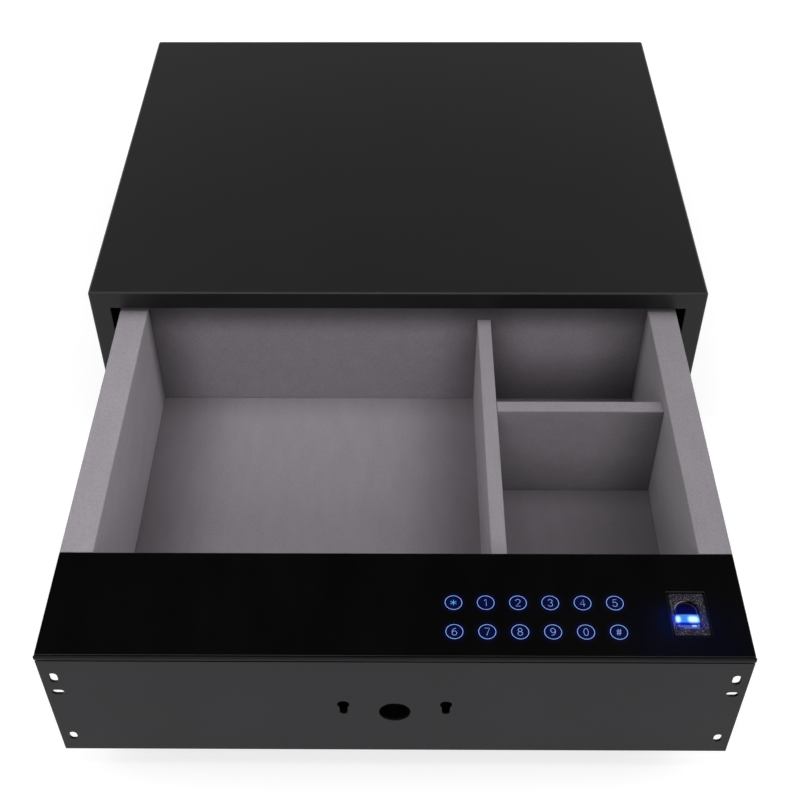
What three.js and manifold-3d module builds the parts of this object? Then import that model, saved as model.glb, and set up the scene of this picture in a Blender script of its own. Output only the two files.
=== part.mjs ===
// Under desk drawer safe. Millimetres, +Z up, the drawer opens towards -Y.
// The origin is the centre of the case's underside. The drawer is drawn pulled out to its stop.
import * as THREE from 'three';
import { mergeVertices } from 'three/addons/utils/BufferGeometryUtils.js';
import Module from 'manifold-3d';

const wasm = await Module();
wasm.setup();

// Clearance between pieces that are screwed, welded or glued face to face
const seat = 0.3;
// How far a cut runs past what it cuts, and how far joined shapes run into each other
const past = 1;
const bite = 0.5;

// Case
const caseWidth = 430;
const caseDepth = 350;
const caseHeight = 130;
const caseSheet = 1.5;
const caseBend = 1.6;
const caseCorner = 2;
const topLip = 14;
const sideLip = 14;
const bottomLip = 14;
const anchorRadius = 4;
const anchorInsetX = 65;
const anchorInsetY = 60;

// Drawer in the case's mouth
const mouthSidePlay = 6;
const mouthTopPlay = 2.9;
const mouthBottomPlay = 3.5;
const roomBehindMouth = 3.8;
const drawerSheet = 1.2;

// Front box: the plate that takes the furniture's front, and the housing behind it
const frontDepth = 72;
const plateSheet = 1.5;
const coverProud = 0.9;
const coverSheet = 1;
const rimDepth = 1.6;
const rimBend = 0.8;
const rimGroove = 1.9;
const wingWidth = 15.8;
const housingLift = 1.8;

// Holes in the front plate
const wingHoleInset = 7.2;
const wingHoleWidth = 4.6;
const upperHoleFromTop = 21.1;
const upperHoleLength = 8.8;
const slotFromTop = 35.1;
const slotLength = 7;
const slotWidth = 4.4;
const lowerHoleFromBottom = 14.5;
const lowerHoleLength = 7.8;
const keyHoleRadius = 9;
const keyHoleFromBottom = 41.1;
const hangerX = 29;
const hangerAboveKeyHole = 7.6;
const hangerHeadRadius = 3.5;
const hangerStemWidth = 4.6;
const hangerStemLength = 7.3;

// Touch panel
const glassThickness = 1.8;
const glassSideMargin = 0.3;
const boardThickness = 1.6;
const sensor = { width: 20.8, fromSide: 21.6, fromFront: 15, depth: 29.7, height: 9 };
const sensorWindow = { left: 1.3, right: 3.5, front: 5.3, back: 5.9, height: 5, drop: 0.6, sag: 2.4 };
const sensorBoardMargin = 1.5;
const keypadWindow = { width: 116, fromSensor: 16.6, fromFront: 10, depth: 38 };
const keypadBoardMargin = 8;

// Lining
const liningBoard = 2.5;
const floorBoard = 3;
const liningEdge = 1;
const dividerThickness = 9.5;
const dividerDrop = 10;
const dividerEdge = 0.8;
const mainDividerX = 61.1;
const crossDividerFromFront = 130;
const compartmentDepth = 217.5;
const panFloorLift = 3;
const flangeReturn = 6.5;
const flangeInset = 0.8;
const frontWallSetback = 2.5;
const rearLipHeight = 20;
const backFlange = 12;

// Ball-bearing slides, one each side
const slideHeight = 45;
const slideThickness = 12.7;
const slideMetal = 1.2;
const slideStagger = 1.5;
const slideFrontSetback = 5;
const outerLipPlay = 1.1;
const middleWebPlay = 2;
const middleLipPlay = 0.4;
const innerLipPlay = 1.5;
const ballRadius = 1.8;
const ballPlay = 0.3;
const ballCount = 4;
const ballPitch = 26;
const cageMetal = 0.7;
const cageLength = 100;
const outerCage = { webPlay: 0.6, lip: 7, ballReach: 5 };
const innerCage = { webPlay: 0.4, lip: 5, ballReach: 3 };
const bracketSheet = 1.5;
const bracketFoot = 16;
const bracketTopMargin = 1.5;
const screwHeadRadius = 3.6;
const screwHeadHeight = 2.2;
const screwHeadSide = 1.3;
const screwShank = 2;
const screwPlay = 0.3;
const screwTipLift = 0.2;
const bracketScrewInset = 55;
const bufferLength = 3.5;
const bufferRadius = 8;
const bufferX = 120;
const bufferPlay = 0.5;

// Lock
const gearModule = 1.5;
const gearAddendum = 1.2;
const gearDedendum = 1.9;
const gearBacklash = 0.2;
const pressureAngle = THREE.MathUtils.degToRad(20);
const pinionTeeth = 16;
const motorTeeth = 12;
const gearThickness = 3.4;
const boltThickness = 3;
const boltHeight = 12;
const boltAheadOfWall = 10.3;
const boltUnderCover = 10;
const boltAboveBracket = 4;
const riserFromGuide = 50;
const boltHeadLength = 12;
const boltHeadReach = 4;
const boltTipInset = 1.7;
const boltNeck = 4;
const boltNeckPlay = 1.8;
const rackTeeth = 8;
const rackBeyondPinion = 2;
const rackHeel = 3;
const lockPlateSheet = 1.5;
const lockPlateAheadOfBolt = 5.2;
const lockPlateHalf = 44;
const lockPlateTopPlay = 6;
const lockPlateFoot = 22;
const pinionShaft = 4;
const bushRadius = 6.7;
const bushFlange = 9;
const bushFlangeLength = 2.4;
const bushProud = 0.4;
const motorShaft = 3;
const motorShaftReach = 5;
const gearbox = { beforeShaft: 10, width: 27, height: 29, depth: 21, bore: 6 };
const motorCan = { radius: 11, length: 22, offset: 6 };
const guideFromSide = 40;
const guideWidth = 14;
const guideWall = 2.5;
const cylinderRadius = 10.5;
const cylinderFlange = 12;
const cylinderFlangeLength = 2;
const cylinderLength = 26;
const cylinderRecess = 8;
const cylinderMouthPlay = 0.2;
const plugRadius = 5.5;
const plugTail = { length: 5, width: 2.6, height: 6, play: 0.7 };
const keyway = { width: 1.8, height: 8, depth: 9 };

// Electronics and cells
const controlBoard = { width: 114, fromSide: 12, fromFront: 8, depth: 42, lift: 6.5 };
const boardLug = 5;
const boardChip = { x: 20, y: 12, width: 14, depth: 14, height: 2 };
const boardRelay = { x: 50, y: 8, width: 19, depth: 15, height: 15 };
const boardDriver = { x: 46, y: 28, width: 10, depth: 8, height: 1.6 };
const boardSocket = { x: 6, y: 30, width: 12, depth: 6, height: 7 };
const boardCapacitor = { x: 80, y: 12, radius: 4, height: 12 };
const cellRadius = 7.1;
const cellLength = 50.2;
const cellNub = { radius: 2.6, length: 1.2 };
const cellGap = 1.6;
const holderWall = 2;
const holderFromSide = 14.8;
const holderFromFront = 7;
const ribbon = { width: 12, thickness: 0.8, fromFront: 34, onKeypad: 2, onBoard: 14, belowPlateTop: 4 };

// Places worked out from the sizes above
const caseFrontY = -caseDepth / 2;
const caseBackY = caseDepth / 2;
const roomFromFront = frontDepth - frontWallSetback + drawerSheet + seat + liningBoard;
const drawerTravel = roomFromFront + compartmentDepth - roomBehindMouth;
const frontY = caseFrontY - drawerTravel;
const plateY = frontY + coverProud;
const plateBackY = plateY + plateSheet;
const frontBackY = frontY + frontDepth;
const drawerBottom = bottomLip + mouthBottomPlay;
const drawerTop = caseHeight - topLip - mouthTopPlay;
const halfDrawer = caseWidth / 2 - sideLip - mouthSidePlay;
const lockAxisZ = drawerBottom + keyHoleFromBottom;
const coverTop = drawerTop - glassThickness - seat;
const coverBottom = coverTop - coverSheet;
const plateTop = coverBottom - rimGroove;
const sideOuter = halfDrawer - wingWidth;
const sideInner = sideOuter - drawerSheet;
const panBottom = drawerBottom + panFloorLift;
const panFloor = panBottom + drawerSheet;
const flangeTop = coverBottom - seat;
const flangeEdge = halfDrawer - flangeInset;
const frontWallY = frontBackY - frontWallSetback;
const panFrontY = frontWallY - seat;
const bufferBackY = caseBackY - caseSheet - seat;
const panBackY = bufferBackY - bufferLength - bufferPlay - drawerTravel;
const frontPadY = frontWallY + drawerSheet + seat;
const roomFrontY = frontPadY + liningBoard;
const roomBackY = roomFrontY + compartmentDepth;
const backWallY = roomBackY + liningBoard + seat;
const roomSide = sideInner - seat - liningBoard;
const roomFloor = panFloor + seat + floorBoard;
const dividerTop = drawerTop - dividerDrop;
const housingFloor = drawerBottom + housingLift;
const housingBackY = panFrontY - seat;
const boltY = frontWallY - boltAheadOfWall;
const lockPlateY = boltY - lockPlateAheadOfBolt;
const lockPlateTop = coverBottom - lockPlateTopPlay;
const pinionRadius = gearModule * pinionTeeth / 2;
const motorRadius = gearModule * motorTeeth / 2;
const motorAxisX = pinionRadius + motorRadius;
const gearY = boltY - (gearThickness - boltThickness) / 2;
const slideInnerFace = sideOuter + seat;
const slideOuterFace = slideInnerFace + slideThickness;
const slideFrontY = panFrontY + slideFrontSetback;
const slideLength = panBackY - slideFrontY;
const boltZ = coverBottom - boltUnderCover - boltHeight;
const bracketTop = boltZ - boltAboveBracket;
const slideCentreZ = bracketTop - bracketTopMargin - slideHeight / 2;
const boltNeckX = sideOuter + boltNeckPlay;
const guideX = sideInner - guideFromSide;
const boltRiserX = guideX - riserFromGuide;
const boltTip = flangeEdge - boltTipInset;
const outerFrontY = slideFrontY + drawerTravel - 2 * slideStagger;
const middleFrontY = slideFrontY + drawerTravel / 2 - slideStagger;

// Finishes: colour, roughness and metalness
const satinBlack = { color: 0x1e1f21, roughness: 0.5, metalness: 0.1 };
const charcoal = { color: 0x2b2a2e, roughness: 0.6, metalness: 0.1 };
const zinc = { color: 0x9fa2a3, roughness: 0.4, metalness: 0.9 };
const steel = { color: 0x7d7f82, roughness: 0.45, metalness: 0.95 };
const brass = { color: 0xb08d46, roughness: 0.35, metalness: 0.95 };
const blackGlass = { color: 0x050506, roughness: 0.08, metalness: 0 };
const sensorGlass = { color: 0x0b1f8c, roughness: 0.1, metalness: 0 };
const blackPlastic = { color: 0x1a1b1d, roughness: 0.6, metalness: 0 };
const boardGreen = { color: 0x1d4a2c, roughness: 0.55, metalness: 0 };
const plush = { color: 0x7f7b82, roughness: 0.98, metalness: 0 };
const rubber = { color: 0x151515, roughness: 0.85, metalness: 0 };
const cellWrap = { color: 0x3f4a55, roughness: 0.4, metalness: 0.3 };
const greyCable = { color: 0x8d9094, roughness: 0.7, metalness: 0 };

const safe = new THREE.Group();
safe.name = 'under_desk_drawer_safe';

function addPiece(name, geometry, finish) {
  const mesh = new THREE.Mesh(geometry, new THREE.MeshStandardMaterial(finish));
  mesh.name = name;
  safe.add(mesh);
}

// Solids from three.js geometry and back
function solidOf(geometry) {
  const bare = geometry.clone();
  bare.deleteAttribute('normal');
  bare.deleteAttribute('uv');
  const merged = mergeVertices(bare, 1e-4);
  return new wasm.Manifold(new wasm.Mesh({
    numProp: 3,
    vertProperties: new Float32Array(merged.attributes.position.array),
    triVerts: new Uint32Array(merged.index.array),
  }));
}

function geometryOf(solid) {
  const mesh = solid.getMesh();
  const geometry = new THREE.BufferGeometry();
  geometry.setAttribute('position', new THREE.BufferAttribute(new Float32Array(mesh.vertProperties), 3));
  geometry.setIndex(new THREE.BufferAttribute(new Uint32Array(mesh.triVerts), 1));
  return geometry;
}

// A block between two corners
function block(x0, x1, y0, y1, z0, z1) {
  const geometry = new THREE.BoxGeometry(x1 - x0, y1 - y0, z1 - z0);
  geometry.translate((x0 + x1) / 2, (y0 + y1) / 2, (z0 + z1) / 2);
  return geometry;
}

// Closed outline from points
function outline(points) {
  return new THREE.Shape(points.map(([u, v]) => new THREE.Vector2(u, v)));
}

// Rectangle whose four corners have their own radii: lower left, lower right, upper right, upper left
function roundedOutline(u0, u1, v0, v1, [r0, r1, r2, r3]) {
  const shape = new THREE.Shape();
  shape.moveTo(u0 + r0, v0);
  shape.lineTo(u1 - r1, v0);
  if (r1) shape.absarc(u1 - r1, v0 + r1, r1, -Math.PI / 2, 0);
  shape.lineTo(u1, v1 - r2);
  if (r2) shape.absarc(u1 - r2, v1 - r2, r2, 0, Math.PI / 2);
  shape.lineTo(u0 + r3, v1);
  if (r3) shape.absarc(u0 + r3, v1 - r3, r3, Math.PI / 2, Math.PI);
  if (r0) shape.lineTo(u0, v0 + r0);
  if (r0) shape.absarc(u0 + r0, v0 + r0, r0, Math.PI, 1.5 * Math.PI);
  return shape;
}

function extruded(shape, length, curveSegments = 4) {
  return new THREE.ExtrudeGeometry(shape, { depth: length, bevelEnabled: false, curveSegments });
}

// A section drawn in x and z, run along y
function alongY(shape, y0, y1, curveSegments) {
  return extruded(shape, y1 - y0, curveSegments).rotateX(Math.PI / 2).translate(0, y1, 0);
}

// A section drawn in y and z, run along x
function alongX(shape, x0, x1, curveSegments) {
  const turn = new THREE.Matrix4().set(0, 0, 1, 0, 1, 0, 0, 0, 0, 1, 0, 0, 0, 0, 0, 1);
  return extruded(shape, x1 - x0, curveSegments).applyMatrix4(turn).translate(x0, 0, 0);
}

// A section drawn in x and y, run along z
function alongZ(shape, z0, z1, curveSegments) {
  return extruded(shape, z1 - z0, curveSegments).translate(0, 0, z0);
}

// Round rods along y, x and z
function rodY(radius, x, z, y0, y1, sides = 24) {
  return new THREE.CylinderGeometry(radius, radius, y1 - y0, sides).translate(x, (y0 + y1) / 2, z);
}

function rodX(radius, y, z, x0, x1, sides = 24) {
  return new THREE.CylinderGeometry(radius, radius, x1 - x0, sides)
    .rotateZ(Math.PI / 2)
    .translate((x0 + x1) / 2, y, z);
}

function rodZ(radius, x, y, z0, z1, sides = 24) {
  return new THREE.CylinderGeometry(radius, radius, z1 - z0, sides)
    .rotateX(Math.PI / 2)
    .translate(x, y, (z0 + z1) / 2);
}

// A turned piece: points are (radius, y) along an axis at x and z
function turned(points, x, z, sides = 28) {
  const profile = points.map(([r, y]) => new THREE.Vector2(r, y));
  return new THREE.LatheGeometry(profile, sides).translate(x, 0, z);
}

// Joins a list of geometries and cuts another list away
function carve(joined, cut = []) {
  const start = solidOf(joined[0]);
  const whole = joined.slice(1).reduce((solid, piece) => solid.add(solidOf(piece)), start);
  return geometryOf(cut.reduce((solid, piece) => solid.subtract(solidOf(piece)), whole));
}

// Mirrors an outline's points to the side with sign -1
function sided(points, side) {
  return outline(points.map(([x, z]) => [side * x, z]));
}

const sides = [{ side: -1, hand: 'left' }, { side: 1, hand: 'right' }];

// Case: one folded shell for top and sides, a base with the lower lip, and a back

function addCaseShell() {
  const half = caseWidth / 2;
  const overrun = 10 * past;
  const depth = caseDepth + overrun;
  const shape = roundedOutline(-half, half, -overrun, caseHeight, [0, 0, caseCorner, caseCorner]);
  const outer = new THREE.ExtrudeGeometry(shape, {
    depth,
    bevelThickness: caseBend,
    bevelSize: caseBend,
    bevelOffset: -caseBend,
    bevelSegments: 3,
    curveSegments: 3,
  });
  outer.rotateX(Math.PI / 2).translate(0, caseFrontY + depth + caseBend, 0);
  const behind = caseBackY + 2 * overrun;
  const under = -2 * overrun;
  const inside = block(-half + caseSheet, half - caseSheet, caseFrontY + caseSheet, behind,
    under, caseHeight - caseSheet);
  const mouth = block(-half + sideLip, half - sideLip, caseFrontY - past, 0, under, caseHeight - topLip);
  const rear = block(-half - past, half + past, caseBackY, behind, under, caseHeight + past);
  const below = block(-half - past, half + past, caseFrontY - past, behind, under, 0);
  addPiece('case_shell', carve([outer], [inside, mouth, rear, below]), satinBlack);
}

function bracketScrewPlaces() {
  const bracketFront = outerFrontY;
  const bracketBack = outerFrontY + slideLength;
  const x = slideOuterFace + seat + bracketSheet + bracketFoot / 2;
  return sides.flatMap(({ side, hand }) => [
    { name: `bracket_screw_front_${hand}`, x: side * x, y: bracketFront + bracketScrewInset },
    { name: `bracket_screw_rear_${hand}`, x: side * x, y: bracketBack - bracketScrewInset },
  ]);
}

function addCaseBase() {
  const half = caseWidth / 2 - caseSheet - seat;
  const lipHalf = caseWidth / 2 - sideLip - seat;
  const floor = block(-half, half, caseFrontY + caseSheet + seat, caseBackY - caseSheet - seat, 0, caseSheet);
  const toe = block(-lipHalf, lipHalf, caseFrontY, caseFrontY + caseSheet + past, 0, caseSheet);
  const lip = block(-lipHalf, lipHalf, caseFrontY, caseFrontY + caseSheet, 0, bottomLip);
  const holes = [];
  for (const x of [-1, 1]) {
    for (const y of [-1, 1]) {
      const atX = x * (caseWidth / 2 - anchorInsetX);
      const atY = y * (caseDepth / 2 - anchorInsetY);
      holes.push(rodZ(anchorRadius, atX, atY, -past, caseSheet + past, 16));
    }
  }
  for (const { x, y } of bracketScrewPlaces()) {
    holes.push(rodZ(screwShank + screwPlay, x, y, -past, caseSheet + past, 12));
  }
  addPiece('case_base', carve([floor, toe, lip], holes), satinBlack);
}

function addCaseBack() {
  const half = caseWidth / 2 - caseSheet - seat;
  const plate = block(-half, half, caseBackY - caseSheet, caseBackY, 0, caseHeight - caseSheet - seat);
  const holes = sides.map(({ side }) => rodY(anchorRadius, side * (caseWidth / 2 - anchorInsetX), caseHeight / 2,
    caseBackY - caseSheet - past, caseBackY + past, 16));
  addPiece('case_back', carve([plate], holes), satinBlack);
}

// Rubber buffers on the back, which the closed drawer comes to rest on
function addRearBuffers() {
  const front = bufferBackY - bufferLength;
  const z = panFloor + rearLipHeight / 2;
  for (const { side, hand } of sides) {
    addPiece(`rear_buffer_${hand}`, rodY(bufferRadius, side * bufferX, z, front, bufferBackY), rubber);
  }
}

// Slides. Each member is a C section; x is measured outwards and z from the slide's middle
function channel(side, webX0, webX1, lipX, halfHeight, metal) {
  const inward = lipX < webX0;
  const webBack = inward ? webX1 : webX0;
  const webFront = inward ? webX0 : webX1;
  const z = slideCentreZ;
  return sided([
    [webBack, z - halfHeight],
    [webBack, z + halfHeight],
    [lipX, z + halfHeight],
    [lipX, z + halfHeight - metal],
    [webFront, z + halfHeight - metal],
    [webFront, z - halfHeight + metal],
    [lipX, z - halfHeight + metal],
    [lipX, z - halfHeight],
  ], side);
}

const ballSpace = 2 * (ballRadius + ballPlay);
const outerHalf = slideHeight / 2;
const middleHalf = outerHalf - slideMetal - ballSpace;
const innerHalf = middleHalf - slideMetal - ballSpace;
const middleWebX = slideOuterFace - slideMetal - middleWebPlay;
const innerLipX = middleWebX - slideMetal - innerLipPlay;

function addSlideMembers() {
  for (const { side, hand } of sides) {
    const outer = channel(side, slideOuterFace - slideMetal, slideOuterFace, slideInnerFace + outerLipPlay,
      outerHalf, slideMetal);
    const middle = channel(side, middleWebX - slideMetal, middleWebX,
      slideInnerFace + slideMetal + middleLipPlay, middleHalf, slideMetal);
    const inner = channel(side, slideInnerFace, slideInnerFace + slideMetal, innerLipX, innerHalf, slideMetal);
    addPiece(`slide_outer_${hand}`, alongY(outer, outerFrontY, outerFrontY + slideLength), zinc);
    addPiece(`slide_middle_${hand}`, alongY(middle, middleFrontY, middleFrontY + slideLength), zinc);
    addPiece(`slide_inner_${hand}`, alongY(inner, slideFrontY, slideFrontY + slideLength), zinc);
  }
}

// A ball cage: a thin C strip with balls seated in both lips
function ballCage(side, webX, { lip, ballReach }, rowZ, centreY) {
  const ballX = webX - ballReach;
  const strip = alongY(channel(side, webX - cageMetal, webX, webX - lip, rowZ + cageMetal / 2, cageMetal),
    centreY - cageLength / 2, centreY + cageLength / 2);
  const balls = [];
  for (let i = 0; i < ballCount; i += 1) {
    const y = centreY + (i - (ballCount - 1) / 2) * ballPitch;
    for (const z of [-rowZ, rowZ]) {
      balls.push(new THREE.SphereGeometry(ballRadius, 8, 5).translate(side * ballX, y, slideCentreZ + z));
    }
  }
  return carve([strip, ...balls]);
}

function addBallCages() {
  const outerRow = outerHalf - slideMetal - ballSpace / 2;
  const innerRow = middleHalf - slideMetal - ballSpace / 2;
  const outerOverlap = (outerFrontY + middleFrontY + slideLength) / 2;
  const innerOverlap = (middleFrontY + slideFrontY + slideLength) / 2;
  for (const { side, hand } of sides) {
    const outerWeb = slideOuterFace - slideMetal - outerCage.webPlay;
    const innerWeb = middleWebX - slideMetal - innerCage.webPlay;
    addPiece(`ball_cage_outer_${hand}`, ballCage(side, outerWeb, outerCage, outerRow, outerOverlap), steel);
    addPiece(`ball_cage_inner_${hand}`, ballCage(side, innerWeb, innerCage, innerRow, innerOverlap), steel);
  }
}

// Brackets that stand on the base and carry the slides' outer members
function addSlideBrackets() {
  const legFace = slideOuterFace + seat;
  const footZ = caseSheet + seat;
  for (const { side, hand } of sides) {
    const section = sided([
      [legFace, footZ],
      [legFace, bracketTop],
      [legFace + bracketSheet, bracketTop],
      [legFace + bracketSheet, footZ + bracketSheet],
      [legFace + bracketSheet + bracketFoot, footZ + bracketSheet],
      [legFace + bracketSheet + bracketFoot, footZ],
    ], side);
    const holes = bracketScrewPlaces()
      .filter(({ x }) => x * side > 0)
      .map(({ x, y }) => rodZ(screwShank + screwPlay, x, y, 0, footZ + bracketSheet + past, 12));
    const angle = alongY(section, outerFrontY, outerFrontY + slideLength);
    addPiece(`slide_bracket_${hand}`, carve([angle], holes), zinc);
  }
}

function addBracketScrews() {
  const headZ = caseSheet + seat + bracketSheet + seat;
  for (const { name, x, y } of bracketScrewPlaces()) {
    const crown = screwHeadRadius - (screwHeadHeight - screwHeadSide);
    const profile = [
      [0, screwTipLift], [screwShank, screwTipLift], [screwShank, headZ], [screwHeadRadius, headZ],
      [screwHeadRadius, headZ + screwHeadSide], [crown, headZ + screwHeadHeight],
      [0, headZ + screwHeadHeight],
    ];
    const head = turned(profile, 0, 0, 16).rotateX(Math.PI / 2).translate(x, y, 0);
    addPiece(name, head, zinc);
  }
}

// Drawer tray: a folded pan with turned-out flanges, a front wall and a back wall

function addDrawerPan() {
  const half = [
    [flangeEdge, flangeTop - flangeReturn],
    [flangeEdge - drawerSheet, flangeTop - flangeReturn],
    [flangeEdge - drawerSheet, flangeTop - drawerSheet],
    [sideOuter, flangeTop - drawerSheet],
    [sideOuter, panBottom],
  ];
  const inner = [
    [sideInner, panFloor],
    [sideInner, flangeTop],
    [flangeEdge, flangeTop],
  ];
  const mirror = (points) => points.map(([x, z]) => [-x, z]).reverse();
  const section = outline([...half, ...mirror(half), ...mirror(inner), ...inner]);
  const pan = alongY(section, panFrontY, panBackY);
  const rearLip = block(-sideInner - bite, sideInner + bite, panBackY - drawerSheet, panBackY,
    panFloor - bite, panFloor + rearLipHeight);
  addPiece('drawer_pan', carve([pan, rearLip]), satinBlack);
}

function addDrawerWalls() {
  const half = sideInner - seat;
  const foot = panFloor + seat;
  const front = block(-half, half, frontWallY, frontWallY + drawerSheet, foot, flangeTop);
  const back = outline([
    [backWallY, foot],
    [backWallY, flangeTop],
    [backWallY + backFlange, flangeTop],
    [backWallY + backFlange, flangeTop - drawerSheet],
    [backWallY + drawerSheet, flangeTop - drawerSheet],
    [backWallY + drawerSheet, foot],
  ]);
  addPiece('drawer_front_wall', front, satinBlack);
  addPiece('drawer_back_wall', alongX(back, -half, half), satinBlack);
}

// Front box

function oblong(x, z, width, height) {
  const radius = Math.min(width, height) / 2;
  return roundedOutline(x - width / 2, x + width / 2, z - height / 2, z + height / 2,
    [radius, radius, radius, radius]);
}

function addFrontPlate() {
  const plate = roundedOutline(-halfDrawer, halfDrawer, drawerBottom, plateTop, [0, 0, 0, 0]);
  for (const { side } of sides) {
    const x = side * (halfDrawer - wingHoleInset);
    plate.holes.push(oblong(x, drawerTop - upperHoleFromTop, wingHoleWidth, upperHoleLength));
    plate.holes.push(oblong(x, drawerTop - slotFromTop, slotLength, slotWidth));
    plate.holes.push(oblong(x, drawerBottom + lowerHoleFromBottom, wingHoleWidth, lowerHoleLength));
  }
  const y0 = plateY - past;
  const y1 = plateBackY + past;
  const headZ = lockAxisZ + hangerAboveKeyHole;
  const footZ = headZ - hangerStemLength;
  const halfStem = hangerStemWidth / 2;
  const hangers = sides.map(({ side }) => side * hangerX).flatMap((x) => [
    rodY(hangerHeadRadius, x, headZ, y0, y1, 20),
    rodY(halfStem, x, footZ, y0, y1, 16),
    block(x - halfStem, x + halfStem, y0, y1, footZ, headZ),
  ]);
  const bore = rodY(keyHoleRadius, 0, lockAxisZ, y0, y1, 32);
  addPiece('front_plate', carve([alongY(plate, plateY, plateBackY, 2)], [bore, ...hangers]), charcoal);
}

function controlBoardCorners() {
  const x0 = controlBoard.fromSide - sideInner;
  const y0 = frontY + controlBoard.fromFront;
  return [x0, x0 + controlBoard.width, y0, y0 + controlBoard.depth];
}

function holderSize() {
  const innerX = 2 * cellLength + 3 * cellGap;
  const innerY = 4 * cellRadius + 3 * cellGap;
  const x1 = sideInner - holderFromSide;
  const y0 = frontY + holderFromFront;
  return { x0: x1 - innerX - 2 * holderWall, x1, y0, y1: y0 + innerY + 2 * holderWall };
}

// The housing: floor and both sides, with lugs for the control board, slots for the bolts and a cell hatch
function addFrontHousing() {
  const frontEdge = plateBackY + seat;
  const top = coverBottom - seat;
  const floorTop = housingFloor + drawerSheet;
  const trough = outline([
    [-sideOuter, housingFloor], [sideOuter, housingFloor], [sideOuter, top], [sideInner, top],
    [sideInner, floorTop], [-sideInner, floorTop], [-sideInner, top], [-sideOuter, top],
  ]);
  const [boardX0, boardX1, boardY0, boardY1] = controlBoardCorners();
  const half = boardLug / 2;
  const lugs = [boardX0 + boardLug, boardX1 - boardLug].flatMap((x) =>
    [boardY0 + boardLug, boardY1 - boardLug].map((y) =>
      block(x - half, x + half, y - half, y + half, floorTop - bite, floorTop + controlBoard.lift - seat)));
  const slots = block(-sideOuter - past, sideOuter + past, boltY - past, boltY + boltThickness + past,
    boltZ - past, boltZ + boltHeight + past);
  const holder = holderSize();
  const hatch = block(holder.x0 + holderWall, holder.x1 - holderWall, holder.y0 + holderWall,
    holder.y1 - holderWall, housingFloor - past, floorTop + past);
  const shell = alongY(trough, frontEdge, housingBackY);
  addPiece('front_housing', carve([shell, ...lugs], [slots, hatch]), satinBlack);
}

function sensorCorners() {
  const x1 = halfDrawer - sensor.fromSide;
  const y0 = frontY + sensor.fromFront;
  return [x1 - sensor.width, x1, y0, y0 + sensor.depth];
}

function keypadCorners() {
  const x1 = sensorCorners()[0] - keypadWindow.fromSensor;
  const y0 = frontY + keypadWindow.fromFront;
  return [x1 - keypadWindow.width, x1, y0, y0 + keypadWindow.depth];
}

function grown([x0, x1, y0, y1], margin) {
  return [x0 - margin, x1 + margin, y0 - margin, y1 + margin];
}

// The cover: a sheet under the glass whose front edge is folded up into a rim
function addTopCover() {
  const rim = roundedOutline(frontY, frontY + rimDepth, coverBottom, drawerTop, [rimBend, 0, 0, rimBend]);
  const sheet = block(-halfDrawer, halfDrawer, frontY + rimBend, frontBackY, coverBottom, coverTop);
  const window = block(...keypadCorners(), coverBottom - past, coverTop + past);
  const port = block(...grown(sensorCorners(), seat), coverBottom - past, coverTop + past);
  addPiece('top_cover', carve([alongX(rim, -halfDrawer, halfDrawer, 3), sheet], [window, port]), satinBlack);
}

function addTouchGlass() {
  const half = halfDrawer - glassSideMargin;
  const pane = block(-half, half, frontY + rimDepth + seat, frontBackY, drawerTop - glassThickness, drawerTop);
  const port = block(...grown(sensorCorners(), seat), drawerTop - glassThickness - past, drawerTop + past);
  addPiece('touch_glass', carve([pane], [port]), blackGlass);
}

function addKeypadBoard() {
  const top = coverBottom - seat;
  const [x0, x1, y0, y1] = keypadCorners();
  const board = block(x0 - keypadBoardMargin, x1 + keypadBoardMargin, y0 - keypadBoardMargin / 2,
    y1 + keypadBoardMargin, top - boardThickness, top);
  addPiece('keypad_board', board, boardGreen);
}

// Fingerprint reader: a frame in the glass, its curved window, and the small board below
function addFingerprintReader() {
  const [x0, x1, y0, y1] = sensorCorners();
  const base = drawerTop - sensor.height;
  const w0 = x0 + sensorWindow.left;
  const w1 = x1 - sensorWindow.right;
  const v0 = y0 + sensorWindow.front;
  const v1 = y1 - sensorWindow.back;
  const floor = drawerTop - sensorWindow.height;
  const frame = carve([block(x0, x1, y0, y1, base, drawerTop)],
    [block(w0, w1, v0, v1, floor, drawerTop + past)]);
  const glassTop = drawerTop - sensorWindow.drop;
  const section = new THREE.Shape();
  section.moveTo(v0 + seat, floor + seat);
  section.lineTo(v1 - seat, floor + seat);
  section.lineTo(v1 - seat, glassTop);
  section.quadraticCurveTo((v0 + v1) / 2, glassTop - sensorWindow.sag, v0 + seat, glassTop);
  addPiece('fingerprint_frame', frame, blackPlastic);
  addPiece('fingerprint_window', alongX(section, w0 + seat, w1 - seat, 8), sensorGlass);
  const boardTop = base - seat;
  const board = block(...grown([x0, x1, y0, y1], sensorBoardMargin), boardTop - boardThickness, boardTop);
  addPiece('sensor_board', board, boardGreen);
}

// Flat cable from the keypad board over the lock to the control board
function addKeypadRibbon() {
  const start = coverBottom - seat - boardThickness - seat;
  const x0 = keypadCorners()[0] + ribbon.onKeypad;
  const x1 = controlBoardCorners()[1] - ribbon.onBoard;
  const high = lockPlateTop - ribbon.belowPlateTop;
  const low = housingFloor + drawerSheet + controlBoard.lift + boardThickness + seat;
  const y0 = frontY + ribbon.fromFront;
  const skin = ribbon.thickness;
  const band = outline([
    [x0, start], [x0, high], [x1, high], [x1, low], [x1 - skin, low],
    [x1 - skin, high + skin], [x0 - skin, high + skin], [x0 - skin, start],
  ]);
  addPiece('keypad_ribbon', alongY(band, y0, y0 + ribbon.width), greyCable);
}

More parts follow.
